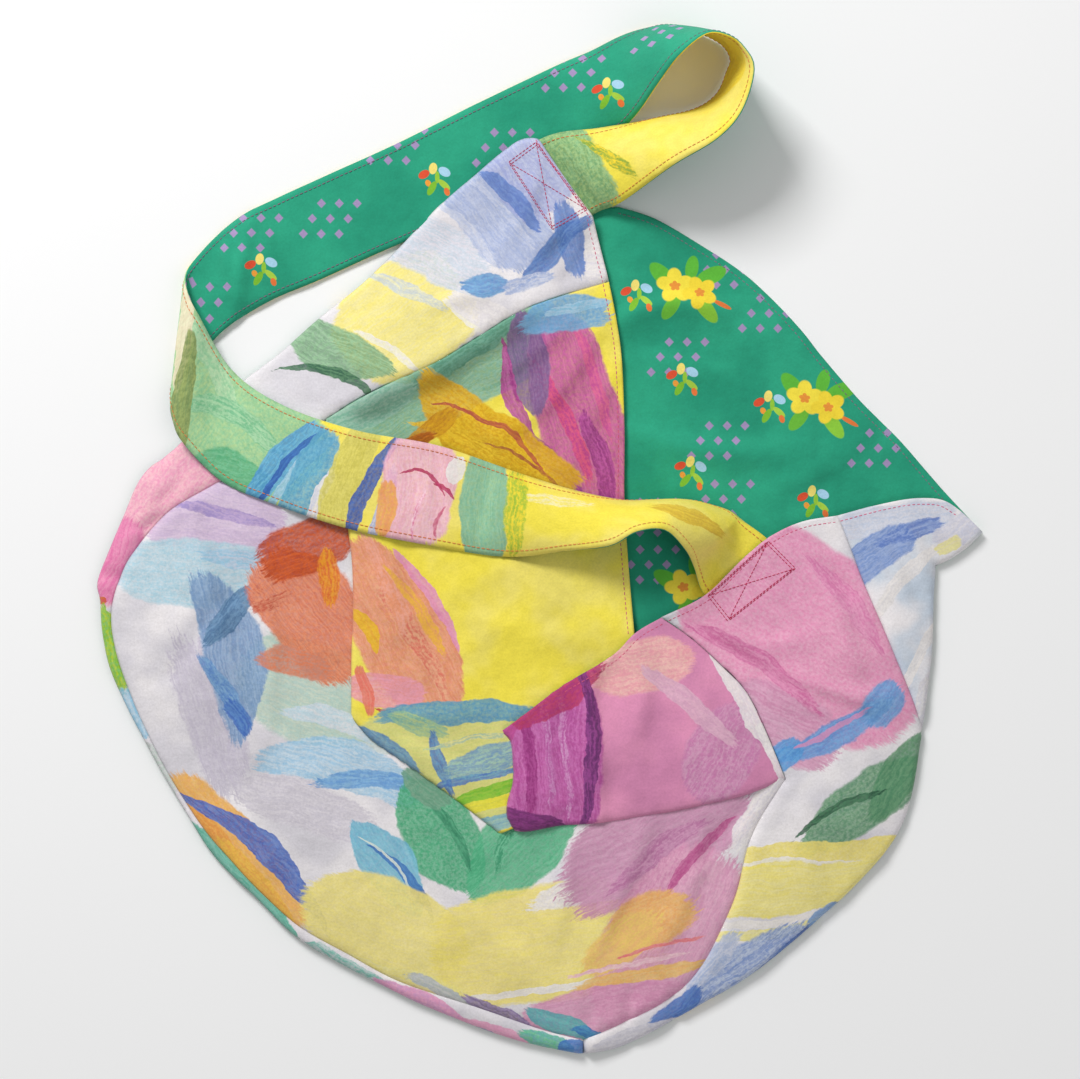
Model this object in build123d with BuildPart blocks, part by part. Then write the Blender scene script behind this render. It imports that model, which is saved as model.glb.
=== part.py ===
"""Reversible cotton sling bag lying on its back, with its strap looped above it.

Millimetres, +Z up, +Y towards the strap. The bag rests on z = 0, and the origin is at the bottom centre of the
whole object's box. The pouch is a low pillow, open at the mouth. Its upper end, with the tip of the left ear and
the upper part of the strap, folds up about a straight line across the bag.
"""

import math
import os

from build123d import *

# Cloth and thread
CLOTH = 0.6
INTERFACING = 0.5
THREAD = 0.5
THREAD_HEIGHT = 0.3
STITCH_INSET = 3.3

# Fold line of the bag's upper end: a point on it, its heading in degrees, and the gap left on each side of it
FOLD_POINT = Vector(-62, 176)
FOLD_HEADING = -26.4
FOLD_GAP = 0.35
FOLD_REACH = 900.0

# Pillow form of the pouch: each section is the bag's outline, scaled about the centre, at a height
PILLOW_CENTRE = (-10, -132)
PILLOW_SECTIONS = [(1.0, 0.6), (0.985, 4.0), (0.95, 8.0), (0.89, 11.5), (0.80, 14.0)]

# Heights on the ear tip, above the strap that passes beneath it
EAR_LINING_LOW = 2.3
EAR_OUTER_LOW = 5.1

# Outline of the pouch below the fold line, from its upper left corner round the left side to the right corner
POUCH_LEFT = [(-44, 167), (-77, 156), (-121, 120), (-162, 87), (-195, 54), (-214, 39), (-228, 13), (-243, -24)]
POUCH_BOTTOM = [
    (-243, -24), (-240, -50), (-228, -89), (-206, -130), (-177, -175), (-134, -216), (-77, -248), (-22, -271),
    (24, -283), (66, -267), (110, -243), (154, -207), (187, -174), (204, -138), (214, -78), (216, -34),
]
POUCH_RIGHT = [(216, -34), (218, -14), (229, -5), (243, 4), (220, 28), (208, 42)]

# Seams of the front, each from its upper end downwards
EAR_SEAM = [(20, 136), (-11, 124), (-55, 97), (-99, 76), (-118, 64)]
LEFT_SEAM = [
    (-174, 32), (-198, 19), (-220, -3), (-235, -39), (-225, -86), (-202, -135), (-134, -215), (-77, -245),
    (-33, -259), (24, -277),
]
RIGHT_SEAM = [
    (66, -43), (99, -69), (124, -108), (134, -131), (114, -168), (108, -193), (88, -234), (66, -256), (24, -277),
]
CORNER_SEAM = [(164, 13), (176, -23), (187, -47), (196, -67), (213, -102)]

# Hems of the mouth: the front's left and right sides, and the back
LEFT_HEM = [(40, 125), (45, 98), (46, 21), (48, -12), (52, -53)]
RIGHT_HEM = [(52, -53), (66, -43), (90, -31), (126, 2), (164, 13), (198, 21), (220, 21), (243, 4)]
BACK_HEM = [(44, 183), (66, 174), (88, 162), (110, 147), (143, 115), (176, 75), (208, 42)]

# The two pleats in which the front lies
LEFT_PLEAT = [
    (-118, 64), (-103, -3), (-103, -97), (-77, -120), (-23, -160), (-13, -159), (-22, -105), (11, -80),
    (52, -53), (48, -12), (46, 21), (45, 76),
]
RIGHT_PLEAT = [
    (-22, -105), (11, -80), (66, -43), (99, -69), (124, -108), (134, -131), (88, -145), (33, -155), (-13, -159),
]

# Upper end of the bag. Both outlines run past the fold line, which cuts them off.
BACK_EAR = [(-44, 150), (-38, 163), (-5, 172), (20, 182)] + BACK_HEM + [(208, 20)]
EAR_TIP = [(-44, 150), (-62, 176), (-33, 202), (-22, 211), (-1, 219), (29, 177), (38, 141), (40, 125), (45, 110)]
EAR_TIP_HEM = EAR_TIP[5:8]

# Stretches of the front hem's thread, each with the number of layers of cloth under it
FRONT_HEM_STRETCHES = [
    ([(40, 125), (45, 98), (45, 77)], 2),
    ([(45, 76), (46, 21), (48, -12), (52, -53)], 4),
    ([(-22, -105), (11, -80), (66, -43)], 6),
    (RIGHT_HEM[1:-1], 2),
]

# Strap: at each station, its left edge and its right edge as one walks from the left ear to the right ear
STRAP_STATIONS = [
    ((-23, 204, 3.9), (4, 163, 3.9)),
    ((4, 221, 3.9), (31, 179, 3.9)),
    ((32, 223, 6), (44, 185, 26)),
    ((58, 228, 6), (71, 200, 38)),
    ((83, 235, 3), (95, 214, 45)),
    ((97, 244, 1.5), (108, 229, 47)),
    ((103, 257, 1.5), (114, 250, 49)),
    ((105, 264, 1.5), (107, 259, 50)),
    ((100, 272, 1.5), (99, 265, 50)),
    ((86, 279, 1.5), (89, 268, 49)),
    ((70, 282.5, 1.5), (76, 259, 42)),
    ((56, 280, 1.5), (65, 248, 28)),
    ((44, 276, 1.4), (55, 235, 14)),
    ((28, 268, 1.2), (44, 223, 3)),
    ((9, 260, 1.2), (30, 215, 1.2)),
    ((-77, 218, 1.2), (-55, 173, 1.2)),
    ((-143, 188, 1.2), (-122, 142, 1.2)),
    ((-175, 168, 1.2), (-159, 124, 1.2)),
    ((-187, 157, 1.3), (-195, 93, 1.3)),
    ((-192, 150, 3), (-201, 84, 3)),
    ((-194, 142, 7.5), (-202, 74, 7.5)),
    ((-192, 134, 12), (-201, 65, 12)),
    ((-186, 124, 15.5), (-194, 54, 15.5)),
    ((-169, 93, 18), (-174, 32, 18)),
    ((-140, 72, 20), (-150, 21, 20)),
    ((-99, 59, 20.5), (-107, 6, 20.5)),
    ((-55, 51, 20.5), (-62, -3, 20.5)),
    ((-11, 36, 20), (-19, -10, 23)),
    ((18, 26, 19), (14, -6, 34)),
    ((55, 21, 18), (44, -1, 50)),
    ((77, 20, 17.5), (60, 5, 50)),
    ((97, 18, 17), (73, 1, 46)),
    ((113, 12, 15.5), (82, -12, 36)),
    ((124, 3, 12.6), (86, -28, 12.6)),
    ((144, -19, 12.6), (107, -52, 12.6)),
]

# The fold line crosses the strap just before this station
FOLD_STATION = 16

# Box-and-cross stitches: the box's size along and across the strap, and each one's x, y, heading and height
BOX_LENGTH = 21.0
BOX_WIDTH = 44.0
LEFT_BOX = (2, 191, 35.5, EAR_OUTER_LOW + CLOTH)
RIGHT_BOX = (117, -26, -47.5, PILLOW_SECTIONS[-1][1] + 2 * CLOTH)

# Further out than the bag reaches, for the regions that run over its edge and for cutting blocks
FAR = 330

os.makedirs("parts", exist_ok=True)
fold_direction = Vector(1, 0).rotate(Axis.Z, FOLD_HEADING)
fold_normal = Vector(0, 1).rotate(Axis.Z, FOLD_HEADING)


def write(piece, name):
    """Labels a finished piece and writes it."""
    piece.part.label = name
    export_step(piece.part, "parts/" + name + ".step")


def fold_side(side):
    """A tall block over the upper side (1) or the lower side (-1) of the fold line, short of it by the gap."""
    start = FOLD_POINT - fold_direction * FOLD_REACH + fold_normal * (side * FOLD_GAP)
    end = start + fold_direction * (2 * FOLD_REACH)
    away = fold_normal * (side * FOLD_REACH)
    with BuildPart() as block:
        with BuildSketch(Plane.XY.offset(-FAR)):
            with BuildLine():
                Polyline(start, end, end + away, start + away, close=True)
            make_face()
        extrude(amount=2 * FAR)
    return block.part


upper_side = fold_side(1)
lower_side = fold_side(-1)


def slab(outline, low, thickness):
    """A flat sheet of the bag's upper end, beyond the fold line."""
    with BuildPart() as sheet:
        with BuildSketch(Plane.XY.offset(low)):
            with BuildLine():
                Polyline(*outline, close=True)
            make_face()
        extrude(amount=thickness)
        add(upper_side, mode=Mode.INTERSECT)
    return sheet


def shrunk(points, size):
    """Points of the pouch's outline, scaled about the pillow's centre."""
    return [tuple(c + (value - c) * size for c, value in zip(PILLOW_CENTRE, point)) for point in points]


def pouch_outline(size=1.0):
    """The closed outline of the pouch, drawn on the current line builder."""
    left = Polyline(*shrunk(POUCH_LEFT, size))
    Spline(*shrunk(POUCH_BOTTOM, size))
    right = Polyline(*shrunk(POUCH_RIGHT, size))
    Line(right @ 1, left @ 0)


def pillow(layers):
    """The solid under the pillow surface, raised by a number of layers of cloth."""
    with BuildPart() as body:
        for size, height in PILLOW_SECTIONS:
            with BuildSketch(Plane.XY.offset(height + layers * CLOTH)):
                with BuildLine():
                    pouch_outline(size)
                make_face()
        loft(ruled=True)
    return body.part


pillows = [pillow(layers) for layers in range(7)]


def back_sheet(low):
    """A flat sheet with the pouch's outline, short of the fold line."""
    with BuildPart() as sheet:
        with BuildSketch(Plane.XY.offset(low)):
            with BuildLine():
                pouch_outline()
            make_face()
        extrude(amount=CLOTH)
        add(lower_side, mode=Mode.INTERSECT)
    return sheet


def pillow_sheet(region, layer):
    """A sheet of cloth that follows the pillow, inside a region of the plan. Layer 0 is the innermost."""
    with BuildPart() as sheet:
        add(pillows[layer + 1])
        add(pillows[layer], mode=Mode.SUBTRACT)
        with BuildSketch():
            with BuildLine():
                Polyline(*region, close=True)
            make_face()
        extrude(amount=FAR, mode=Mode.INTERSECT)
        add(lower_side, mode=Mode.INTERSECT)
    return sheet


def inset_path(points, distance):
    """The points moved sideways, to the right of the direction of travel."""
    moved = []
    for index, point in enumerate(points):
        before = points[max(index - 1, 0)]
        after = points[min(index + 1, len(points) - 1)]
        length = math.dist(before, after)
        across = ((after[1] - before[1]) / length, (before[0] - after[0]) / length)
        moved.append((point[0] + across[0] * distance, point[1] + across[1] * distance))
    return moved


def stitch_band(hem):
    """The outline of a line of thread, just inside a hem."""
    return inset_path(hem, STITCH_INSET) + inset_path(hem, STITCH_INSET + THREAD)[::-1]


def hem_stitch(stretches):
    """The lines of thread along stretches of the front's hem, each on its own number of layers of cloth."""
    with BuildPart() as thread:
        for hem, layers in stretches:
            with BuildPart(mode=Mode.PRIVATE) as line:
                with BuildSketch():
                    with BuildLine():
                        Polyline(*stitch_band(hem), close=True)
                    make_face()
                extrude(amount=FAR)
                add(Pos(0, 0, THREAD_HEIGHT) * pillows[layers], mode=Mode.INTERSECT)
                add(pillows[layers], mode=Mode.SUBTRACT)
                add(lower_side, mode=Mode.INTERSECT)
            add(line.part)
    return thread


def strap_plane(index):
    """The plane of the strap's cross-section at a station, its X axis towards the strap's left edge."""
    left, right = (Vector(*edge) for edge in STRAP_STATIONS[index])
    before = STRAP_STATIONS[max(index - 1, 0)]
    after = STRAP_STATIONS[min(index + 1, len(STRAP_STATIONS) - 1)]
    travel = Vector(*after[0]) + Vector(*after[1]) - Vector(*before[0]) - Vector(*before[1])
    across = (left - right).normalized()
    return Plane(origin=(left + right) / 2, x_dir=across, z_dir=travel - across * travel.dot(across))


def ribbon(first, last, side, low, high, edges=(0,)):
    """A layer of the strap between two stations, two heights and one side of the fold line.

    With edges 1 and -1 it is a thread along the strap's left edge and another along its right edge.
    """
    with BuildPart() as layer:
        for edge in edges:
            for index in range(first, last):
                for station in (index, index + 1):
                    width = math.dist(*STRAP_STATIONS[station])
                    with BuildSketch(strap_plane(station)):
                        with Locations((edge * (width / 2 - STITCH_INSET), (low + high) / 2)):
                            Rectangle(THREAD if edge else width, high - low)
                loft(ruled=True)
        add(side, mode=Mode.INTERSECT)
    return layer


def box_stitch(x, y, heading, height):
    """A box with a cross in it, sewn in thread."""
    diagonal = math.hypot(BOX_LENGTH, BOX_WIDTH) - 2 * THREAD
    slope = math.degrees(math.atan2(BOX_WIDTH, BOX_LENGTH))
    with BuildPart() as thread:
        with BuildSketch(Plane((x, y, height)).rotated((0, 0, heading))):
            Rectangle(BOX_LENGTH, BOX_WIDTH)
            Rectangle(BOX_LENGTH - 2 * THREAD, BOX_WIDTH - 2 * THREAD, mode=Mode.SUBTRACT)
            Rectangle(diagonal, THREAD, rotation=slope)
            Rectangle(diagonal, THREAD, rotation=-slope)
        extrude(amount=THREAD_HEIGHT)
    return thread


# Back of the bag, flat on what it rests on
write(back_sheet(0), "back_outer_panel")
write(back_sheet(CLOTH), "back_lining_panel")
write(slab(BACK_EAR, 0, CLOTH), "back_ear_outer")
write(slab(BACK_EAR, CLOTH, CLOTH), "back_ear_lining")

# Front of the bag: the front panel and the gores side by side, then the two pleats that lie on them
front_regions = {
    "front": LEFT_SEAM + RIGHT_SEAM[-2::-1] + LEFT_HEM[::-1] + EAR_SEAM,
    "left_gore": EAR_SEAM + LEFT_SEAM + [(24, -FAR), (-FAR, -FAR), (-FAR, FAR), (20, FAR)],
    "right_gore": RIGHT_SEAM + [(24, -FAR), (FAR, -FAR), (FAR, -102)] + CORNER_SEAM[::-1] + RIGHT_HEM[3:1:-1],
    "right_corner": CORNER_SEAM + [(FAR, -102), (FAR, 4)] + RIGHT_HEM[:4:-1],
}
pleat_regions = {"left_pleat": (LEFT_PLEAT, 2), "right_pleat": (RIGHT_PLEAT, 4)}
for name, region in front_regions.items():
    write(pillow_sheet(region, 0), name + "_lining")
    write(pillow_sheet(region, 1), name + "_outer")
for name, (region, layers) in pleat_regions.items():
    write(pillow_sheet(region, layers), name + "_lining")
    write(pillow_sheet(region, layers + 1), name + "_outer")

# Tip of the left ear, over the strap
write(slab(EAR_TIP, EAR_LINING_LOW, CLOTH), "ear_tip_lining")
write(slab(EAR_TIP, EAR_OUTER_LOW, CLOTH), "ear_tip_outer")

# Strap: the printed face, the interfacing and the green backing, and a thread along each edge of the face
half = INTERFACING / 2
top = half + CLOTH
strap_spans = {
    "strap_upper_": (0, FOLD_STATION, upper_side),
    "strap_lower_": (FOLD_STATION - 1, len(STRAP_STATIONS) - 1, lower_side),
}
for name, span in strap_spans.items():
    face = ribbon(*span, half, top)
    thread = ribbon(*span, top, top + THREAD_HEIGHT, edges=(1, -1))
    with BuildPart() as topstitch:
        add(thread.part)
        add(face.part, mode=Mode.SUBTRACT)
    write(face, name + "face")
    write(ribbon(*span, -half, half), name + "interfacing")
    write(ribbon(*span, -top, -half), name + "backing")
    write(topstitch, name + "topstitch")

# Thread at the strap's two ends, and along the hems
write(box_stitch(*LEFT_BOX), "left_box_stitch")
write(box_stitch(*RIGHT_BOX), "right_box_stitch")
write(hem_stitch(FRONT_HEM_STRETCHES), "front_mouth_topstitch")
write(slab(stitch_band(BACK_HEM), 2 * CLOTH, THREAD_HEIGHT), "back_mouth_topstitch")
write(slab(stitch_band(EAR_TIP_HEM), EAR_OUTER_LOW + CLOTH, THREAD_HEIGHT), "ear_tip_topstitch")
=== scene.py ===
import math

import bpy
import numpy as np
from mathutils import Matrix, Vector, geometry


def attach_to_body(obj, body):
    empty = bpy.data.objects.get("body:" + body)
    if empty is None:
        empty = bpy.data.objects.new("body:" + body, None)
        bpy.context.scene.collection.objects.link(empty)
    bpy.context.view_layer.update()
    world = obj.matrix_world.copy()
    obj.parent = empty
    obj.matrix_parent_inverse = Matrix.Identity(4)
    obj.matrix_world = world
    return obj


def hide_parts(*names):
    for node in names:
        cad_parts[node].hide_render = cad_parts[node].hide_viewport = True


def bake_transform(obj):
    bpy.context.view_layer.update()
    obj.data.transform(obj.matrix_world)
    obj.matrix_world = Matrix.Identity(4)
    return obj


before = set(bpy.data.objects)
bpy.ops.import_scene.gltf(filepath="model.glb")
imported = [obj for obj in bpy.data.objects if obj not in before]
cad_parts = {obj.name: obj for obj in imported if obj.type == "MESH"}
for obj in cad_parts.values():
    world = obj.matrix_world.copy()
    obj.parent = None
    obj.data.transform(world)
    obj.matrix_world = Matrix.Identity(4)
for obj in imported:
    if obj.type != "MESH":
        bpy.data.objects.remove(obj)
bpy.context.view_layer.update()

MM = 0.001

# Cloth
CLOTH = 0.55                # thickness of one layer
LAYER = 0.8                 # from one layer to the next
PILE_GAP = 0.4              # from a sheet's height to the top of the heap with that sheet on it
SKIN_GAP = 1.7              # from the heap to the pouch's upper side
FOLD_GAP = 2.0              # from the heap to a folded-over part
FACE_LIFT = 0.58            # from the strap's middle surface to its face, and to its backing
WEAVE = 2.1                 # threads in a millimetre
FLOOR_HEIGHT = -0.0003      # in metres, just under the cloth
EDGE_STEP = 2.5             # between points along an outline
INNER_STEP = 3.1            # between points inside an outline
EDGE_ROWS = (1.2, 2.7)      # rows of points that follow the outline, inside it

# Grid on which the heights of the heap of cloth are worked out
CELL = 2.0
GRID_X = np.arange(-256, 257, CELL)
GRID_Y = np.arange(-296, 297, CELL)

# Air in the pouch: its height, how soon it rises from the rim, and how low it stays at the mouth
AIR = 10.5
RIM_RISE = 17.0
MOUTH_REACH = 85.0
MOUTH_SHARE = 0.25

# The fold line across the bag, and how far below and above it the cloth is meant to bend; only the lower reach
# is used, to pick the pieces that move with the bag
FOLD_POINT = np.array([-62.0, 176.0])
FOLD_NORMAL = np.array([0.4446, 0.8957])
BEND_FROM, BEND_TO = -12.0, 48.0

# Strap
STRAP_WIDTH = 50.0
STITCH_INSET = 3.4
FOLD_SCALE = 2.0             # how strongly the folds in the tables below stand up

# Outlines of the cloth as it lies, seen from above
TIP_EDGE = [(-1, 219.5), (7, 207.5), (17, 193), (29, 176.5)]
TIP_HEM = [(29, 176.5), (33.5, 159), (38, 141)]
BAND_FOLD = [
    (-1, 219.5), (-10.5, 218.5), (-21.5, 211), (-32.5, 202), (-54.5, 183.5), (-76.5, 160.5), (-98.5, 139),
    (-120.5, 121.5), (-142.5, 102), (-162, 87.5),
]
LEFT_RIM = [
    (-162, 87.5), (-180, 71), (-195, 54.5), (-206, 44.5), (-214, 39), (-221, 29.5), (-228, 13), (-236, -6),
    (-242.5, -23.5), (-241, -33.5), (-240, -50), (-236, -69.5), (-228, -88.5), (-219.5, -105),
    (-206, -130), (-192, -153), (-177.5, -175), (-155, -197), (-134, -217.5), (-109.5, -232.5),
    (-76.5, -249.5), (-54.5, -259.5), (-21.5, -272), (0.5, -278), (24, -282.5),
]
LEFT_SEAM = [
    (-174, 32), (-197.5, 18.5), (-208.5, 9.5), (-219.5, -3.5), (-228, -17), (-234.5, -38), (-233, -58.5),
    (-224.5, -84.5), (-213, -110.5), (-200.5, -134), (-184, -159), (-169, -176.5), (-151, -195.5),
    (-131.5, -212.5), (-106, -227), (-75.5, -243), (-32.5, -257), (0.5, -268.5), (24, -274.5),
]
BAND_SEAM = [
    (38, 141), (11.5, 133), (-10.5, 124.5), (-32.5, 111), (-54.5, 97.5), (-76.5, 87.5), (-98.5, 76.5),
    (-118, 64.5),
]
UNDER_STRAP = [(-118, 64.5), (-131.5, 56.5), (-152.5, 44.5), (-174, 32)]
LEFT_HEM = [(38, 141), (42, 120.5), (45, 98.5), (46.5, 60), (46.5, 21.5), (48.5, -11.5), (52, -53)]
LEFT_FOLD = [(-118, 64.5), (-109.5, 32.5), (-103, -3.5), (-101.5, -33.5), (-102.5, -66.5), (-102.5, -97)]
LEFT_FOLD_LOW = [(-102.5, -97), (-92, -109), (-76.5, -120), (-54.5, -135.5), (-32.5, -152), (-21.5, -160.5)]
RIGHT_FOLD_TOP = [(-21.5, -105), (-10.5, -97), (11.5, -80.5), (39, -64), (52, -51.5), (66.5, -43)]
RIGHT_FOLD_EDGE = [
    (-21.5, -105), (-16, -109.5), (-14.5, -121.5), (-14.5, -132.5), (-17.5, -143.5), (-17.5, -152),
    (-13.5, -159),
]
RIGHT_FOLD_LOW = [
    (-13.5, -159), (-5, -159), (11.5, -156), (33.5, -154.5), (66.5, -149.5), (88.5, -145), (110.5, -140),
    (134, -131),
]
SEAM_3 = [(66.5, -43), (83, -54.5), (99.5, -69.5), (113, -84), (124, -106.5), (134, -131)]
SEAM_2 = [
    (134, -131), (127, -142), (119.5, -154.5), (113.5, -168.5), (107.5, -193), (99.5, -212.5),
    (90.5, -230.5), (80, -244), (66.5, -254.5), (44.5, -265.5), (24, -274.5),
]
RIGHT_HEM = [(66.5, -43), (90, -31), (110.5, -11.5), (125.5, 1), (143.5, 9.5), (163.5, 13)]
CORNER_HEM = [(163.5, 13), (182, 18), (198.5, 21.5), (209.5, 22.5), (220.5, 21.5), (230, 16), (243, 4)]
SEAM_4 = [(163.5, 13), (171, -6), (177.5, -24), (187.5, -47.5), (195.5, -66.5), (204, -87), (210, -104)]
CORNER_FOLD = [(243, 4), (234.5, -4.5), (226, -10.5), (217.5, -14.5)]
RIGHT_RIM_TOP = [(217.5, -14.5), (216, -33.5), (215.5, -55.5), (213.5, -77.5), (210, -104)]
RIGHT_RIM = [
    (210, -104), (204.5, -138), (198.5, -157.5), (187.5, -174), (171, -192), (154.5, -207), (132.5, -226),
    (110.5, -242.5), (88.5, -255), (66.5, -267.5), (44.5, -278.5), (24, -282.5),
]
BACK_HEM = [
    (43.5, 182.5), (55.5, 179), (66.5, 174.5), (88.5, 161.5), (110.5, 147), (127, 132.5), (143.5, 115),
    (154.5, 101), (176.5, 75.5), (198.5, 53.5), (220.5, 28), (243, 4),
]
BACK_HIDDEN = [(43.5, 182.5), (20, 181), (-5, 172), (-32.5, 164.5), (-60, 158), (-79.5, 152.5)]
BACK_FOLD = [(-79.5, 152.5), (-98.5, 137), (-120.5, 119.5), (-142.5, 99.5), (-160.5, 85)]
UNDER_FOLDS = [(134, -131), (112, -92), (70, -60), (20, -40), (-50, 10), (-88, 48), (-118, 64.5)]
UNDER_RIGHT_FOLD = [(52, -53), (58, -82), (40, -120), (6, -148), (-21.5, -160.5)]

# The strap's two edges at each station, from the left ear to the right one: left edge, right edge, and how far
# it lies on the heap there (1) or stands at its own height (0)
STRAP = [
    ((-23, 204, 4.0), (4, 163, 4.0), 0),
    ((4, 221, 4.0), (31, 179, 4.0), 0),
    ((32, 225, 6), (45, 184, 13), 0),
    ((57, 229, 6.5), (71, 200, 38), 0),
    ((83, 235, 3), (95, 214, 45), 0),
    ((97, 244, 1.5), (108, 229, 47), 0),
    ((103, 257, 1.5), (114, 250, 49), 0),
    ((105, 264, 1.5), (109, 261, 50), 0),
    ((100, 272, 1.5), (101, 267.5, 50), 0),
    ((86, 279, 1.5), (89, 269, 49), 0),
    ((70, 282, 1.5), (75, 259, 42), 0),
    ((56, 280, 1.5), (64, 246, 28), 0),
    ((44, 276, 1.2), (54, 233, 13), 0),
    ((28, 268, 1.2), (44, 224, 3), 0),
    ((9, 260, 1.2), (30, 215, 1.2), 0),
    ((-35, 239, 1.2), (-14, 193, 1.2), 0),
    ((-77, 218, 1.2), (-55, 172, 1.2), 0),
    ((-110, 203, 1.2), (-89, 157, 1.2), 0),
    ((-143, 188, 1.2), (-122, 142, 1.2), 0),
    ((-163, 178, 1.2), (-148, 131, 1.2), 0),
    ((-178, 166, 1.2), (-172, 116, 1.2), 0),
    ((-189, 154, 1.8), (-190, 97, 1.8), 0),
    ((-193, 148, 4), (-200, 85, 4), 0),
    ((-194, 142, 7), (-202, 74, 7), 0),
    ((-192, 134, 10), (-200, 64, 10), 0),
    ((-187, 124, 12), (-194, 52, 12), 0.2),
    ((-169, 93, 0.6), (-174, 32, 0.6), 1),
    ((-140, 73, 0.6), (-150, 21, 0.6), 1),
    ((-99, 59, 0.6), (-107, 6.5, 0.6), 1),
    ((-55, 51, 0.6), (-62, -3, 0.6), 1),
    ((-11, 36, 0.6), (-19, -9.5, 0.6), 1),
    ((18, 27, 0.6), (13, -6.5, 9), 1),
    ((44, 21.5, 1), (38, -3.5, 24), 1),
    ((66, 20.5, 1), (52, 4, 32), 1),
    ((86, 20, 1), (67, 5, 33), 1),
    ((103, 16, 0.6), (78, -5, 26), 1),
    ((112, 9.5, 5.5), (84, -15, 14), 0),
    ((125, 0, 4.6), (90, -30, 4.6), 0),
    ((139, -15, 4.4), (105, -45, 4.4), 0),
]

# Soft folds that stand up in the cloth: path, height, width. The side to the left of the path is the steeper.
SKIN_FOLDS = [
    ([(-196, 30), (-180, -30), (-168, -75), (-158, -118)], 2.2, 13),
    ([(-168, 20), (-150, -25), (-146, -70), (-150, -110)], 1.4, 9),
    ([(-215, -20), (-190, -60), (-176, -110)], 1.2, 9),
    ([(-140, -110), (-120, -150), (-90, -190)], 1.3, 11),
    ([(-60, -160), (-40, -200), (0, -240)], 1.2, 12),
    ([(60, -150), (48, -185), (30, -225)], 1.6, 9),
    ([(90, -150), (84, -185), (66, -225)], 1.3, 8),
    ([(20, -158), (14, -190), (10, -225)], 1.0, 8),
    ([(140, -125), (160, -150), (182, -165)], 1.2, 9),
    ([(134, -131), (146, -160), (150, -196)], 1.0, 9),
    ([(120, -70), (160, -84), (196, -86)], 1.6, 9),
    ([(150, -10), (165, -45), (176, -84)], 1.4, 8),
    ([(182, 12), (196, -20), (208, -52)], 1.3, 7),
    ([(-155, -19), (-181, -46), (-198, -72)], -1.4, 7),
    ([(-178, -86), (-172, -118), (-166, -150)], -1.3, 16),
    ([(75, -42), (99, -56), (133, -77), (172, -92), (188, -104)], -1.2, 5),
    ([(150, -11), (178, -34)], -1.0, 5),
    ([(116, -144), (98, -164), (81, -183)], -1.0, 5),
    ([(30, -250), (28, -264), (26, -278)], -0.9, 4),
    ([(52, -246), (48, -262), (50, -276)], -0.9, 4),
    ([(72, -242), (74, -258), (76, -270)], -0.8, 4),
    ([(-198, 28), (-208, 20), (-216, 16)], -0.8, 3.5),
    ([(-206, 14), (-216, 6), (-224, 4)], -0.8, 3.5),
    ([(-222, -24), (-232, -22), (-242, -20)], -0.8, 4),
    ([(198, 14), (210, -12), (214, -40)], 1.1, 6),
    ([(96, -50), (124, -58), (150, -52)], 1.1, 8),
    ([(-206, 38), (-216, 14), (-230, -10)], 1.0, 6),
    ([(-196, 44), (-208, 22), (-222, 2)], 0.9, 5),
    ([(-60, 128), (-38, 134), (-22, 132)], 1.2, 5),
    ([(-120, 108), (-96, 96), (-72, 90)], 0.9, 6),
    ([(0, 205), (-6, 180), (-20, 160)], 0.9, 6),
    ([(14, 190), (8, 168), (-4, 150)], 0.8, 5),
    ([(24, 170), (16, 152), (4, 140)], 0.7, 5),
]
LEFT_FOLD_FOLDS = [
    ([(38, 128), (24, 100), (2, 72), (-26, 54)], 1.5, 9),
    ([(44, 96), (32, 72), (20, 44)], 1.3, 8),
    ([(20, 122), (-6, 100), (-30, 88)], 1.1, 8),
    ([(-62, 76), (-44, 70), (-20, 54), (4, 36)], 1.2, 6),
    ([(-100, 40), (-84, 0), (-78, -50)], 1.6, 12),
    ([(-90, -20), (-70, -52), (-60, -92)], 1.2, 8),
    ([(-96, -88), (-70, -96), (-40, -94)], 0.9, 7),
    ([(-40, -40), (0, -52), (36, -52)], 0.9, 10),
    ([(-84, -104), (-56, -120), (-30, -132)], 0.8, 6),
]
RIGHT_FOLD_FOLDS = [
    ([(38, -64), (29, -78), (28, -96), (31, -118), (34, -150)], 2.0, 6),
    ([(8, -84), (4, -110), (6, -150)], 0.9, 6),
    ([(-8, -98), (-6, -124), (-4, -152)], 0.7, 5),
    ([(66, -46), (86, -80), (110, -110)], 1.1, 10),
    ([(50, -56), (56, -92), (52, -140)], 0.9, 9),
]
STRAP_FOLDS = [
    ([(-157, 180), (-163, 150), (-168, 114)], 1.3, 6),
    ([(-171, 166), (-174, 142), (-175, 116)], 1.2, 5),
    ([(-66, 46), (-60, 28), (-64, 8)], 0.6, 5),
    ([(-48, 44), (-50, 26), (-44, 4)], 0.5, 4),
]
BACK_FOLDS = [
    ([(40, 120), (70, 130), (100, 128), (112, 122)], 2.0, 8),
    ([(44, 62), (76, 52), (112, 48), (146, 52)], 2.0, 9),
    ([(46, 98), (80, 96), (120, 84)], 1.0, 9),
    ([(56, 168), (80, 140), (110, 110)], 1.1, 12),
    ([(120, 130), (134, 92), (150, 40)], 1.0, 12),
    ([(180, 60), (160, 40), (130, 26)], 1.0, 10),
]


# ---------------------------------------------------------------- outlines

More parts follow.
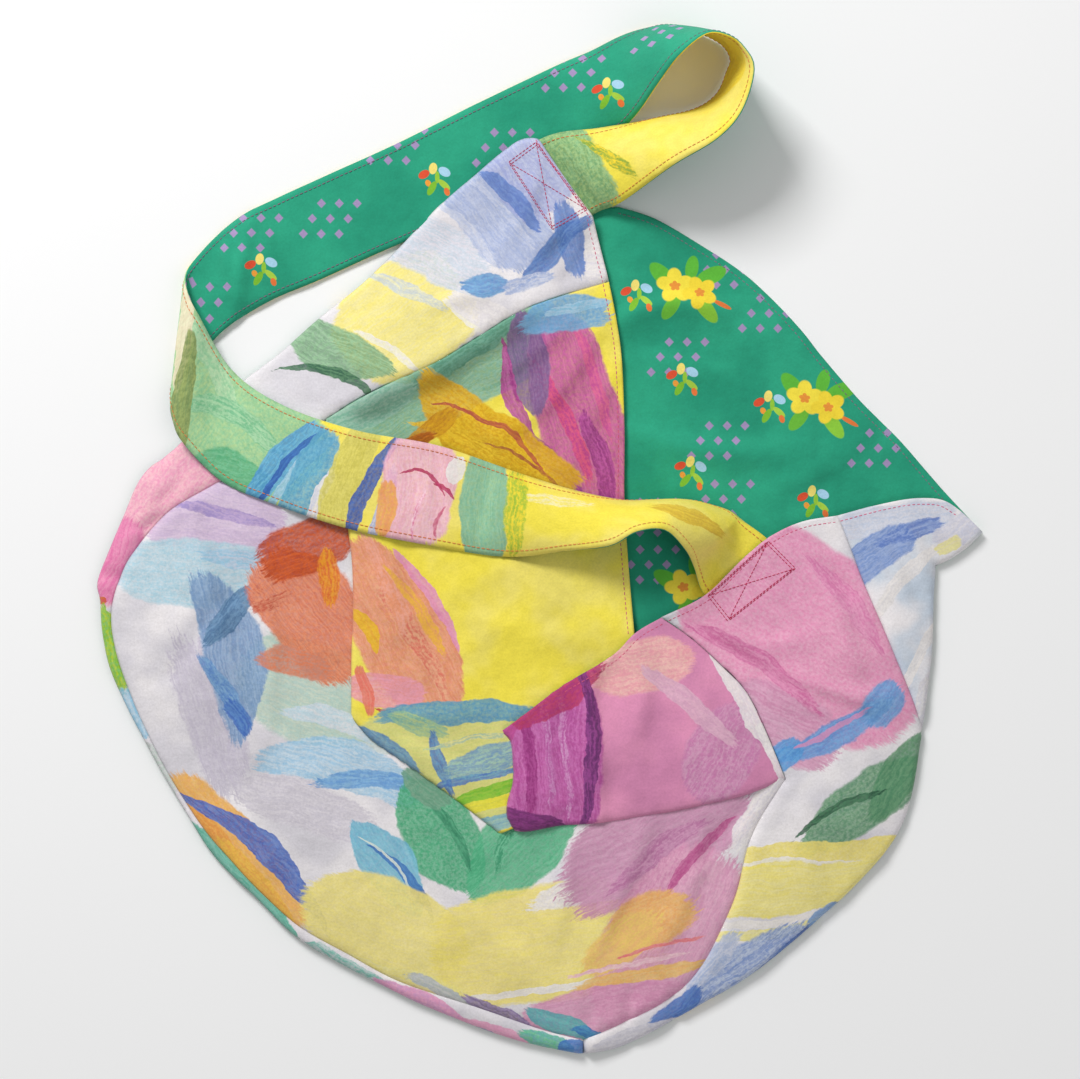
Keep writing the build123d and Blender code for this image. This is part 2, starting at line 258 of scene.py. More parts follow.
def smooth(points, step=EDGE_STEP):
    """A Catmull-Rom curve through the points, as an array of points about a step apart."""
    points = np.array(points, float)
    ends = np.vstack([2 * points[0] - points[1], points, 2 * points[-1] - points[-2]])
    found = [points[0]]
    for p0, p1, p2, p3 in zip(ends, ends[1:], ends[2:], ends[3:]):
        count = max(1, round(float(np.linalg.norm(p2 - p1)) / step))
        for t in np.arange(1, count + 1) / count:
            found.append(0.5 * (2 * p1 + (p2 - p0) * t + (2 * p0 - 5 * p1 + 4 * p2 - p3) * t ** 2
                                + (3 * p1 - p0 - 3 * p2 + p3) * t ** 3))
    return np.array(found)


def loop(*edges):
    """A closed outline made of edges, each smoothed on its own so that the corners between them stay sharp."""
    found = []
    for edge in edges:
        found.extend(p for p in smooth(edge) if not found or np.linalg.norm(p - found[-1]) > 0.4)
    while np.linalg.norm(found[0] - found[-1]) < 0.4:
        found.pop()
    return np.array(found)


def inside(points, outline):
    """True for each point inside a closed outline."""
    x1, y1 = outline[:, 0], outline[:, 1]
    x2, y2 = np.roll(x1, -1), np.roll(y1, -1)
    rise = np.where(y2 == y1, 1e-9, y2 - y1)
    found = np.zeros(len(points), bool)
    near = np.all((points > outline.min(0)) & (points < outline.max(0)), axis=1)
    for part in np.array_split(np.flatnonzero(near), 16):
        x, y = points[part, :1], points[part, 1:]
        crosses = ((y1 > y) != (y2 > y)) & (x < x1 + (y - y1) * (x2 - x1) / rise)
        found[part] = crosses.sum(1) % 2 == 1
    return found


def from_path(points, path):
    """For each point: its distance from a path, the side it is on (1 left, -1 right), and the share of the path
    that lies before the nearest place."""
    path = np.array(path, float)
    start, step = path[:-1], path[1:] - path[:-1]
    length2 = (step ** 2).sum(1)
    before = np.concatenate([[0], np.cumsum(np.sqrt(length2))])
    distance, side, share = np.empty(len(points)), np.empty(len(points)), np.empty(len(points))
    for part in np.array_split(np.arange(len(points)), 24):
        if not len(part):
            continue
        offset = points[part, None, :] - start
        t = np.clip((offset * step).sum(2) / length2, 0, 1)
        gap = offset - t[..., None] * step
        d2 = (gap ** 2).sum(2)
        best = d2.argmin(1)
        rows = np.arange(len(part))
        distance[part] = np.sqrt(d2[rows, best])
        side[part] = np.sign(step[best, 0] * gap[rows, best, 1] - step[best, 1] * gap[rows, best, 0])
        share[part] = (before[best] + t[rows, best] * np.sqrt(length2[best])) / before[-1]
    return distance, side, share


# ---------------------------------------------------------------- heights

grid_points = np.stack(np.meshgrid(GRID_X, GRID_Y, indexing="ij"), -1).reshape(-1, 2)
grid_shape = (len(GRID_X), len(GRID_Y))


def sampled(field, points):
    """The value of a grid field at each point."""
    u = np.clip((points[:, 0] - GRID_X[0]) / CELL, 0, grid_shape[0] - 1.001)
    v = np.clip((points[:, 1] - GRID_Y[0]) / CELL, 0, grid_shape[1] - 1.001)
    i, j = u.astype(int), v.astype(int)
    u, v = u - i, v - j
    return ((field[i, j] * (1 - u) + field[i + 1, j] * u) * (1 - v)
            + (field[i, j + 1] * (1 - u) + field[i + 1, j + 1] * u) * v)


def covered(*outlines):
    """The grid cells that a sheet covers, and one cell all round it."""
    mask = np.zeros(grid_shape, bool)
    for outline in outlines:
        mask |= inside(grid_points, outline).reshape(grid_shape)
    grown = mask.copy()
    for axis in (0, 1):
        for way in (-1, 1):
            grown |= np.roll(mask, way, axis)
    return grown


def relaxed(floor, mask, rounds):
    """The height of a limp sheet that lies on a floor and spans its hollows, more of them with more rounds."""
    share = mask.astype(float)
    near = sum(np.roll(share, way, axis) for axis in (0, 1) for way in (-1, 1))
    height = np.where(mask, floor, 0.0)
    for _ in range(rounds):
        total = sum(np.roll(height, way, axis) for axis in (0, 1) for way in (-1, 1))
        height = np.where(mask, np.maximum(floor, total / np.maximum(near, 1)), 0.0)
    return height


def grown(field, rounds):
    """A grid field whose values at its edge are carried on past the edge."""
    for _ in range(rounds):
        near = np.max([np.roll(field, way, axis) for axis in (0, 1) for way in (-1, 1)], axis=0)
        field = np.where(field > 0, field, near)
    return field


def lumps(points, scale, seed):
    """Gentle waves in all directions, from -1 to 1."""
    chance = np.random.default_rng(seed)
    total = np.zeros(len(points))
    for _ in range(9):
        heading, phase = chance.uniform(0, math.pi), chance.uniform(0, 2 * math.pi)
        size = scale * chance.uniform(0.7, 1.5)
        x, y = points.T
        bend = 0.9 * np.sin(y / (size * 1.7) + phase) + 0.9 * np.cos(x / (size * 2.1) - phase)
        along = x * math.cos(heading) + y * math.sin(heading)
        total += np.sin(along * 2 * math.pi / size + phase + bend)
    return total / 4.5


def folds(points, rows):
    """The height that a list of soft folds adds at each point."""
    total = np.zeros(len(points))
    for path, height, width in rows:
        distance, side, share = from_path(points, smooth(path, 6))
        wide = width * np.where(side > 0, 0.55, 1.15)
        fade = np.sqrt(np.sin(np.clip(share, 0.04, 0.96) * math.pi))
        total += FOLD_SCALE * height * np.exp(-(distance / wide) ** 2) * fade
    return total


def rolled(distance, drop, width):
    """How far a folded edge has dropped, by distance from the edge."""
    return drop * (1 - np.sqrt(1 - (1 - np.clip(distance / width, 0, 1)) ** 2))


def edge_shape(points, edges):
    """What the edges of a sheet add to its height. Each is (kind, path): roll, hem or seam."""
    total = np.zeros(len(points))
    for kind, path, *size in edges:
        distance = from_path(points, smooth(path))[0]
        if kind == "roll":
            total -= rolled(distance, *size)
        if kind == "hem":
            total += 0.3 / (1 + np.exp(distance - 7.5))
            total -= 0.25 * np.exp(-((distance - STITCH_INSET) / 0.9) ** 2)
        if kind == "seam":
            total += 0.45 * np.exp(-((distance - 4.5) / 3.0) ** 2) - 1.0 * np.exp(-(distance / 1.5) ** 2)
    return total


# ---------------------------------------------------------------- sheets

def inner_points(outline):
    """Points inside an outline: rows that follow it, then an even field of triangles."""
    ahead = np.roll(outline, -1, 0) - np.roll(outline, 1, 0)
    inward = np.stack([-ahead[:, 1], ahead[:, 0]], 1) / np.maximum(np.linalg.norm(ahead, axis=1), 1e-6)[:, None]
    x, y = outline.T
    if (x * np.roll(y, -1) - np.roll(x, -1) * y).sum() < 0:
        inward = -inward
    closed = np.vstack([outline, outline[:1]])
    rows = [outline + inward * row for row in EDGE_ROWS]
    rows = [row[inside(row, outline)] for row in rows]
    rows = [row[from_path(row, closed)[0] > 0.85 * size] for row, size in zip(rows, EDGE_ROWS)]
    low, high = outline.min(0), outline.max(0)
    steps_y = np.arange(low[1], high[1], INNER_STEP * 0.866)
    steps_x = np.arange(low[0], high[0], INNER_STEP)
    field = np.array([(x + (k % 2) * INNER_STEP / 2, y) for k, y in enumerate(steps_y) for x in steps_x])
    field = field[inside(field, outline)]
    field = field[from_path(field, closed)[0] > EDGE_ROWS[-1] + 0.5 * INNER_STEP]
    return np.vstack(rows + [field])


def triangles(outline):
    """Points and triangles that fill an outline."""
    points = np.vstack([outline, inner_points(outline)])
    border = list(range(len(outline)))
    made = geometry.delaunay_2d_cdt([Vector(p) for p in points], [], [border], 1, 1e-4)
    return np.array([tuple(v) for v in made[0]]), [tuple(f) for f in made[2]]


def mesh_piece(name, points, faces, place=None, smooth_shaded=True):
    """A mesh from points in millimetres. place is where each point lies on the printed cloth."""
    mesh = bpy.data.meshes.new(name)
    mesh.from_pydata((np.asarray(points) * MM).tolist(), [], faces)
    mesh.polygons.foreach_set("use_smooth", [smooth_shaded] * len(mesh.polygons))
    if place is not None:
        spot = mesh.attributes.new("cloth_place", "FLOAT_VECTOR", "POINT")
        spot.data.foreach_set("vector", np.asarray(place, float).ravel())
    mesh.validate()
    piece = bpy.data.objects.new(name, mesh)
    bpy.context.scene.collection.objects.link(piece)
    return piece


def thicken(piece, thickness=CLOTH):
    """Gives a sheet the thickness of cloth, half above it and half below."""
    shell = piece.modifiers.new("thickness", "SOLIDIFY")
    shell.thickness = thickness * MM
    shell.offset = 0


def attach(piece):
    """Lets a piece that lies wholly below the fold line's bend move with the bag; any other piece only has its
    transform baked in.
    """
    points = np.array([v.co for v in piece.data.vertices]) / MM
    reach = (points[:, :2] - FOLD_POINT) @ FOLD_NORMAL
    if reach.max() <= BEND_FROM:
        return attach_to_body(piece, "bag")
    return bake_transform(piece)


def cut_size(area, length):
    """Width and length of the rectangle that a leaf-shaped piece of that area and length is cut from."""
    return area / (0.68 * length), length


def declare(piece, length=None):
    """Works out a sheet's flat size from its own area; the result is not kept."""
    points = np.array([v.co for v in piece.data.vertices])
    corners = points[np.array([tuple(p.vertices) for p in piece.data.polygons if len(p.vertices) == 3])]
    sides = np.cross(corners[:, 1] - corners[:, 0], corners[:, 2] - corners[:, 0])
    area = float(np.linalg.norm(sides, axis=1).sum() / 2)
    spread = points[:, :2].max(0) - points[:, :2].min(0)
    length = length or float(np.linalg.norm(spread)) * 0.92
    cut_size(area, length)


class Sheet:
    """A sheet of cloth and its lining, on the heap: its outline, and the height at any point of it."""

    def __init__(self, outline, field, rows=(), edges=(), seed=1, ripple=0.5):
        self.outline, self.field, self.rows, self.edges = outline, field, rows, edges
        self.seed, self.ripple = seed, ripple

    def height(self, points):
        waves = lumps(points, 34, self.seed) + 0.3 * lumps(points, 11, self.seed + 1)
        return (sampled(self.field, points) + folds(points, self.rows) + edge_shape(points, self.edges)
                + self.ripple * waves)

    def grid_height(self):
        return self.height(grid_points).reshape(grid_shape)

    def build(self, outer, lining, outer_nodes, lining_nodes, inks, held, rests_on):
        """Makes the printed cloth and, one layer below, its lining, lower still where the cloth is steep."""
        points, faces = triangles(self.outline)
        height = self.height(points)
        level = np.ones(len(points))
        for name, drop, nodes, ink, slot in ((outer, 0, outer_nodes, inks[0], "printed_cotton"),
                                             (lining, LAYER, lining_nodes, inks[1], "green_lining")):
            piece = mesh_piece(name, np.column_stack([points, np.maximum(height - drop / level, 0.4)]), faces,
                               np.column_stack([points, np.zeros(len(points))]))
            level = np.clip([abs(v.normal.z) for v in piece.data.vertices], 0.4, 1)
            thicken(piece)
            piece.data.materials.append(ink)
            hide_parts(*nodes)
            declare(piece)
            attach(piece)


# ---------------------------------------------------------------- strap

def strap_rows():
    """The strap at close steps: left edge, right edge, how far it lies on the heap, and its place in STRAP."""
    table = [(*left, *right, 20 * lies, 0.01 * index) for index, (left, right, lies) in enumerate(STRAP)]
    rows = smooth(table, 4.0)
    return rows[:, :3], rows[:, 3:6], np.clip(rows[:, 6] / 20, 0, 1), rows[:, 7] * 100


def strap_outline(first, last):
    """The outline of a stretch of the strap, seen from above, between two places in STRAP."""
    left, right, _, station = strap_rows()
    part = (station >= first) & (station <= last)
    return np.vstack([left[part, :2], right[part, :2][::-1]])


def strap_surface(field, across):
    """Points of the strap's middle surface, at shares across it from -1 to 1, and the way its print faces."""
    left, right, lies, station = strap_rows()
    span = left - right
    chord = np.linalg.norm(span, axis=1)
    ahead = np.gradient((left + right) / 2, axis=0)
    facing = np.cross(ahead, span)
    facing /= np.linalg.norm(facing, axis=1)[:, None]
    spare = np.clip(STRAP_WIDTH - chord, 0, 8)
    bow = np.sqrt(3 * chord * spare / 8) * np.clip(1.6 * facing[:, 2], -1, 1) * np.clip(36.2 - station, 0, 1)
    points = []
    for share in across:
        row = (left + right) / 2 + span * share / 2
        row[:, 2] += lies * (sampled(field, row[:, :2]) + LAYER)
        row[:, :] += facing * (np.minimum(np.abs(bow), 6.5) * np.sign(bow) * (1 - share ** 2))[:, None]
        row[:, 2] += 0.35 * lumps(row[:, :2], 26, 8) * np.clip(station / 2, 0, 1)
        row[:, 2] += folds(row[:, :2], STRAP_FOLDS)
        points.append(row)
    points = np.array(points).transpose(1, 0, 2)
    points[..., 2] = np.maximum(points[..., 2], 1.15)
    return points, facing


def strap_layer(name, field, share_out, lift, nodes, material):
    """One layer of the strap, lifted off its middle surface towards the printed face."""
    across = np.linspace(-1, 1, 21)
    points, facing = strap_surface(field, across * share_out)
    pinch = 1 - 0.7 * np.abs(across) ** 14
    points = points + facing[:, None, :] * (lift * pinch)[None, :, None]
    count, wide = points.shape[:2]
    faces = [(i * wide + j, (i + 1) * wide + j, (i + 1) * wide + j + 1, i * wide + j + 1)
             for i in range(count - 1) for j in range(wide - 1)]
    sideways = points[:, -1, :2] - points[:, 0, :2]
    sideways /= np.linalg.norm(sideways, axis=1)[:, None]
    place = points[:, wide // 2, None, :2] + sideways[:, None, :] * (across * STRAP_WIDTH / 2)[None, :, None]
    place = np.column_stack([place.reshape(-1, 2), np.zeros(count * wide)])
    piece = mesh_piece(name, points.reshape(-1, 3), faces, place)
    thicken(piece)
    piece.data.materials.append(material)
    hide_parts(*nodes)
    attach(piece)
    return piece


# ---------------------------------------------------------------- thread

def beside(path, distance):
    """A path moved to the right of its direction of travel."""
    path = np.asarray(path, float)
    ahead = np.gradient(path, axis=0)
    right = np.stack([ahead[:, 1], -ahead[:, 0]], 1) / np.linalg.norm(ahead, axis=1)[:, None]
    return path + right * distance


def stitches(name, runs, nodes, material, pitch=2.7, length=2.05, width=0.5):
    """Separate stitches along runs. Each run is (points in space, the way up from the cloth, its colour)."""
    ring = [(math.cos(a), math.sin(a)) for a in np.arange(6) * math.pi / 3]
    rows = [(-0.5, 0.35, -0.5), (-0.3, 0.95, 0.1), (0.3, 0.95, 0.1), (0.5, 0.35, -0.5)]
    points, faces, tints = [], [], []
    for path, up, tint in runs:
        steps = np.concatenate([[0], np.cumsum(np.linalg.norm(np.diff(path, axis=0), axis=1))])
        for middle in np.arange(pitch / 2, steps[-1], pitch):
            ends = [np.array([np.interp(middle + way * length / 2, steps, path[:, k]) for k in range(3)])
                    for way in (-1, 1)]
            along = ends[1] - ends[0]
            rise = np.array([np.interp(middle, steps, up[:, k]) for k in range(3)])
            rise /= np.linalg.norm(rise)
            side = np.cross(rise, along / np.linalg.norm(along))
            first = len(points)
            tints += [tint] * (len(rows) * len(ring))
            for share, size, lift in rows:
                spot = (ends[0] + ends[1]) / 2 + along * share + rise * (0.12 + 0.22 * lift)
                points += [spot + (side * c + rise * 0.7 * s) * size * width / 2 for c, s in ring]
            for row in range(len(rows) - 1):
                start = first + 6 * row
                for k in range(6):
                    after = (k + 1) % 6
                    faces.append((start + k, start + after, start + 6 + after, start + 6 + k))
            faces += [tuple(first + k for k in range(5, -1, -1)), tuple(first + 18 + k for k in range(6))]
    piece = mesh_piece(name, np.array(points), faces, np.array(points))
    colours = piece.data.attributes.new("thread_colour", "FLOAT_COLOR", "POINT")
    colours.data.foreach_set("color", np.array(tints, float).ravel())
    piece.data.materials.append(material)
    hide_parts(*nodes)
    return attach(piece)


def run_on(sheet, path, tint):
    """A run of thread on top of a sheet, along a path in plan."""
    path = np.asarray(path, float)
    height = sheet.height(path) + CLOTH / 2
    return np.column_stack([path, height]), np.tile([0.0, 0.0, 1.0], (len(path), 1)), tint


def box_and_cross(sheet, corners):
    """The runs of a box with a cross in it, sewn through a sheet, with a second line beside the first."""
    middle = np.mean(corners, axis=0)
    a, b, c, d = np.array(corners, float)
    lines = [(a, b), (b, c), (c, d), (d, a), (a, c), (b, d)]
    inner = [(middle + (p - middle) * 0.93, middle + (q - middle) * 0.93) for p, q in lines[:4]]
    return [run_on(sheet, smooth([p, q], 3), CRIMSON) for p, q in lines + inner]


# ---------------------------------------------------------------- cloth colours

def ink(red, green, blue):
    """A colour given as 0 to 255 on a screen, as light."""
    shares = (v / 255 for v in (red, green, blue))
    return tuple(v / 12.92 if v <= 0.04045 else ((v + 0.055) / 1.055) ** 2.4 for v in shares) + (1,)


class Graph:
    """A node tree, with short ways to add to it."""

    def __init__(self, tree):
        self.tree = tree

    def add(self, kind, inputs=(), **settings):
        node = self.tree.nodes.new(kind)
        for name, value in settings.items():
            setattr(node, name, value)
        for key, value in dict(inputs).items():
            if isinstance(value, bpy.types.NodeSocket):
                self.tree.links.new(value, node.inputs[key])
            else:
                node.inputs[key].default_value = value
        return node

    def math(self, operation, *values, clamp=False):
        return self.add("ShaderNodeMath", enumerate(values), operation=operation, use_clamp=clamp).outputs[0]

    def vector(self, operation, *values):
        node = self.add("ShaderNodeVectorMath", enumerate(values), operation=operation)
        return node.outputs["Value" if operation in ("LENGTH", "DOT_PRODUCT") else "Vector"]

    def noise(self, place, scale, detail=2.0, rough=0.5):
        inputs = {"Vector": place, "Scale": scale, "Detail": detail, "Roughness": rough}
        return self.add("ShaderNodeTexNoise", inputs)

    def between(self, value, low, high, to_low=0.0, to_high=1.0):
        inputs = {"Value": value, "From Min": low, "From Max": high, "To Min": to_low, "To Max": to_high}
        return self.add("ShaderNodeMapRange", inputs, interpolation_type="SMOOTHSTEP").outputs[0]

    def mix(self, share, under, over):
        node = self.add("ShaderNodeMix", {0: share, 6: under, 7: over}, data_type="RGBA")
        return node.outputs[2]

    def turned(self, place, angle):
        node = self.add("ShaderNodeVectorRotate", {"Vector": place, "Angle": angle}, rotation_type="Z_AXIS")
        return node.outputs[0]

    def scale(self, colour, value):
        node = self.add("ShaderNodeVectorMath", {0: colour, "Scale": value}, operation="SCALE")
        return node.outputs["Vector"]


def group(name, inputs, outputs=(("Colour", "NodeSocketColor"),)):
    """A new node group with the named sockets: its graph, and its input and output nodes."""
    tree = bpy.data.node_groups.new(name, "ShaderNodeTree")
    for label, kind in inputs:
        tree.interface.new_socket(label, in_out="INPUT", socket_type=kind)
    for label, kind in outputs:
        tree.interface.new_socket(label, in_out="OUTPUT", socket_type=kind)
    graph = Graph(tree)
    return graph, graph.add("NodeGroupInput").outputs, graph.add("NodeGroupOutput").inputs


DIAMOND_STEP, DIAMOND_RISE, DIAMOND_SHIFT = 9.8, 8.3, 5.0
STROKES_AT_ONCE = 12
COLOUR, VECTOR, FLOAT = "NodeSocketColor", "NodeSocketVector", "NodeSocketFloat"


def stroke_group():
    """A brush stroke: streaked along its length, with soft edges, and ragged and dry towards its ends."""
    g, given, result = group("Stroke", [
        ("Under", COLOUR), ("Place", VECTOR), ("Grain", FLOAT), ("Middle", VECTOR), ("Heading", FLOAT),
        ("Size", VECTOR), ("Bend", FLOAT), ("Taper", FLOAT), ("Ragged", FLOAT), ("Ink A", COLOUR),
        ("Ink B", COLOUR)])
    local = g.vector("SUBTRACT", given["Place"], given["Middle"])
    turned = g.turned(local, g.math("MULTIPLY", given["Heading"], -1.0))
    unit = g.add("ShaderNodeSeparateXYZ", {0: g.vector("DIVIDE", turned, given["Size"])}).outputs
    along = g.math("ABSOLUTE", unit[0])
    along2 = g.math("MULTIPLY", along, along)
    sideways = g.math("ABSOLUTE", g.math("MULTIPLY_ADD", along2, given["Bend"], unit[1]))
    narrowed = g.math("MAXIMUM", g.math("SUBTRACT", 1.0, g.math("MULTIPLY", along2, given["Taper"])), 0.2)
    sideways = g.math("DIVIDE", sideways, narrowed)
    body = g.math("ADD", g.math("MULTIPLY", along2, along), g.math("POWER", sideways, 3.0))
    streaks = g.noise(g.vector("MULTIPLY", turned, (0.028, 0.85, 1.0)), 1.0, 2.0, 0.6).outputs[0]
    dry = g.math("MULTIPLY", g.math("SUBTRACT", streaks, 0.5), g.math("MULTIPLY_ADD", along2, 3.4, 0.5))
    rough = g.math("ADD", dry, g.math("SUBTRACT", given["Grain"], 0.5))
    edge = g.math("MULTIPLY_ADD", rough, given["Ragged"], body)
    outer = g.math("MULTIPLY_ADD", given["Ragged"], 0.42, 1.06)
    inner = g.math("MULTIPLY_ADD", given["Ragged"], -0.34, 0.94)
    cover = g.math("MULTIPLY", g.between(edge, outer, inner), g.between(given["Grain"], 0.25, 0.7, 0.8, 0.98))
    mixed = g.math("MULTIPLY_ADD", g.math("SUBTRACT", given["Grain"], 0.5), 0.8, streaks)
    paint = g.mix(g.between(mixed, 0.28, 0.72), given["Ink A"], given["Ink B"])
    g.tree.links.new(g.mix(cover, given["Under"], paint), result["Colour"])
    return g.tree


def dab_group():
    """A plain printed oval with a clean edge. Petals above 0 cut its edge into that many petals."""
    g, given, result = group("Dab", [
        ("Under", COLOUR), ("Place", VECTOR), ("Middle", VECTOR), ("Heading", FLOAT), ("Size", VECTOR),
        ("Petals", FLOAT), ("Ink", COLOUR)])
    local = g.vector("SUBTRACT", given["Place"], given["Middle"])
    turned = g.turned(local, g.math("MULTIPLY", given["Heading"], -1.0))
    unit = g.vector("DIVIDE", turned, given["Size"])
    parts = g.add("ShaderNodeSeparateXYZ", {0: unit}).outputs
    angle = g.math("ARCTAN2", parts[1], parts[0])
    half_turns = g.math("MULTIPLY", given["Petals"], 0.5)
    lobe = g.math("ABSOLUTE", g.math("SINE", g.math("MULTIPLY", angle, half_turns)))
    reach = g.math("SUBTRACT", 1.0, g.math("MULTIPLY", g.math("SUBTRACT", 1.0, lobe),
                                           g.math("MULTIPLY", given["Petals"], 0.07)))
    cover = g.between(g.math("DIVIDE", g.vector("LENGTH", unit), reach), 1.06, 0.94)
    g.tree.links.new(g.mix(cover, given["Under"], given["Ink"]), result["Colour"])
    return g.tree


def diamonds_group():
    """A slanted block of three by three small diamonds: each row up is set over to the right."""
    g, given, result = group("Diamonds", [
        ("Under", COLOUR), ("Place", VECTOR), ("Middle", VECTOR), ("Ink", COLOUR)])
    local = g.vector("SUBTRACT", given["Place"], given["Middle"])
    parts = g.add("ShaderNodeSeparateXYZ", {0: local}).outputs
    row = g.math("ROUND", g.math("DIVIDE", parts[1], DIAMOND_RISE))
    across = g.math("SUBTRACT", parts[0], g.math("MULTIPLY", row, DIAMOND_SHIFT))
    column = g.math("ROUND", g.math("DIVIDE", across, DIAMOND_STEP))
    off_x = g.math("ABSOLUTE", g.math("SUBTRACT", across, g.math("MULTIPLY", column, DIAMOND_STEP)))
    off_y = g.math("ABSOLUTE", g.math("SUBTRACT", parts[1], g.math("MULTIPLY", row, DIAMOND_RISE)))
    shape = g.math("ADD", g.math("MULTIPLY", off_x, 1 / 2.5), g.math("MULTIPLY", off_y, 1 / 2.6))
    block = g.math("MAXIMUM", g.math("ABSOLUTE", row), g.math("ABSOLUTE", column))
    cover = g.math("MULTIPLY", g.between(shape, 1.12, 0.86), g.math("LESS_THAN", block, 1.5))
    g.tree.links.new(g.mix(cover, given["Under"], given["Ink"]), result["Colour"])
    return g.tree


def motif_group(name, dabs, dab_tree, size):
    """A small printed motif, scaled by size. Each dab: x, y, heading, half length, half width, petals, ink."""
    g, given, result = group(name, [
        ("Under", COLOUR), ("Place", VECTOR), ("Middle", VECTOR), ("Heading", FLOAT)])
    local = g.vector("SUBTRACT", given["Place"], given["Middle"])
    place = g.turned(local, given["Heading"])
    colour = given["Under"]
    for x, y, heading, long, wide, petals, tint in dabs:
        colour = call(g, dab_tree, Under=colour, Place=place, Middle=(x * size, y * size, 0),
                      Heading=math.radians(heading), Size=(long * size, wide * size, 1),
                      Petals=petals, Ink=tint)
    g.tree.links.new(colour, result["Colour"])
    return g.tree


def call(graph, tree, **values):
    """Adds a node group, sets or links its inputs by name, and gives back its colour."""
    node = graph.tree.nodes.new("ShaderNodeGroup")
    node.node_tree = tree
    for key, value in values.items():
        socket = node.inputs[key.replace("_", " ")]
        if isinstance(value, bpy.types.NodeSocket):
            graph.tree.links.new(value, socket)
        else:
            socket.default_value = value
    return node.outputs["Colour"]


def wander(graph, place, scale, detail, reach):
    """A random shift of up to about a reach that changes from place to place."""
    chance = graph.noise(place, scale, detail).outputs["Color"]
    return graph.scale(graph.vector("SUBTRACT", chance, (0.5, 0.5, 0.5)), reach)


def cloth_material(name, paint, speckle=0.06):
    """Plain-weave cotton, with its colour from paint(graph, spot, place, grain).

    The spot is the place on the cloth, shifted a little so that painted edges wander."""
    material = bpy.data.materials.new(name)
    material.use_nodes = True
    material.node_tree.nodes.clear()
    g = Graph(material.node_tree)
    place = g.add("ShaderNodeAttribute", attribute_name="cloth_place").outputs["Vector"]
    broad = wander(g, place, 0.035, 1.0, 9.0)
    fine = wander(g, place, 0.22, 2.0, 2.6)
    grain = g.noise(place, 0.55, 3.0, 0.6).outputs[0]
    spot = g.vector("ADD", g.vector("ADD", place, broad), fine)
    colour = paint(g, spot, place, grain)
    specks = g.noise(place, 0.8, 2.0, 0.65).outputs[0]
    mottle = g.noise(place, 0.16, 2.0).outputs[0]
    light = g.math("ADD", g.between(specks, 0.3, 0.7, 1 - speckle, 1 + speckle * 0.6),
                   g.between(mottle, 0.3, 0.7, -0.03, 0.03))
    colour = g.scale(colour, light)
    parts = g.add("ShaderNodeSeparateXYZ", {0: place}).outputs
    warp = g.math("SINE", g.math("MULTIPLY", parts[0], 2 * math.pi * WEAVE))
    weft = g.math("SINE", g.math("MULTIPLY", parts[1], 2 * math.pi * WEAVE))
    crumple = g.noise(place, 0.11, 3.0, 0.55).outputs[0]
    height = g.math("ADD", g.math("MULTIPLY", g.math("MULTIPLY", warp, weft), 0.035),
                    g.math("MULTIPLY", specks, 0.11))
    height = g.math("ADD", height, g.math("MULTIPLY", crumple, 1.1))
    bump = g.add("ShaderNodeBump", {"Height": height, "Distance": 0.0011, "Strength": 0.55}).outputs[0]
    shader = g.add("ShaderNodeBsdfPrincipled", {"Base Color": colour, "Normal": bump, "Roughness": 0.86,
                                                "Specular IOR Level": 0.22, "Sheen Weight": 0.12,
                                                "Sheen Roughness": 0.5})
    out = g.add("ShaderNodeOutputMaterial")
    g.tree.links.new(shader.outputs[0], out.inputs[0])
    return material


def printed(name, ground, rows):
    """Cotton with brush strokes printed on a ground of two inks. A few rows of the front and right fold tables
    are painted light, not print: painted shade along a crease and a fold, and a painted highlight along a seam.
    """
    def paint(g, spot, place, grain):
        wash = g.noise(place, 0.02, 3.0, 0.6).outputs[0]
        colour = g.mix(g.between(wash, 0.4, 0.62), *ground)
        for index, (x, y, heading, long, wide, bend, taper, ragged, ink_a, ink_b) in enumerate(rows):
            if index % STROKES_AT_ONCE == STROKES_AT_ONCE - 1:
                # Moves the place by almost nothing, so that the next strokes are worked out after these ones.
                # Cycles runs out of room when it starts on too many strokes at once.
                spot = g.vector("ADD", spot, g.scale(colour, 1e-6))
            colour = call(g, stroke_tree, Under=colour, Place=spot, Grain=grain, Middle=(x, y, 0),
                          Heading=math.radians(heading), Size=(long, wide, 1), Bend=bend * long / wide,
                          Taper=taper * 1.6, Ragged=ragged, Ink_A=ink_a, Ink_B=ink_b)
        return colour
    return cloth_material(name, paint)


def lining(name, motifs, tile):
    """Green cotton with small printed motifs, which repeat outside the tile.

    Each motif: kind, x, y, heading."""
    def paint(g, spot, place, grain):
        (low_x, low_y), (size_x, size_y) = tile
        from_low = g.vector("SUBTRACT", place, (low_x, low_y, 0))
        wrapped = g.vector("WRAP", from_low, (size_x, size_y, 1000), (0, 0, -1000))
        home = g.vector("ADD", wrapped, (low_x, low_y, 0))
        colour = g.mix(g.between(g.noise(place, 0.02, 2.0).outputs[0], 0.35, 0.65), GREEN, GREEN_DEEP)
        for kind, x, y, heading in sorted(motifs, key=lambda motif: motif[0] != "diamonds"):
            if kind == "diamonds":
                colour = call(g, diamonds_tree, Under=colour, Place=home, Middle=(x, y, 0), Ink=LILAC)
            else:
                colour = call(g, motif_trees[kind], Under=colour, Place=home, Middle=(x, y, 0),
                              Heading=math.radians(heading))
        return colour
    return cloth_material(name, paint, speckle=0.05)


def plain(name, tint):
    """Cotton of one ink, a little uneven."""
    darker = tuple(c * 0.85 for c in tint[:3]) + (1,)
    return cloth_material(name, lambda g, spot, place, grain: g.mix(grain, tint, darker))


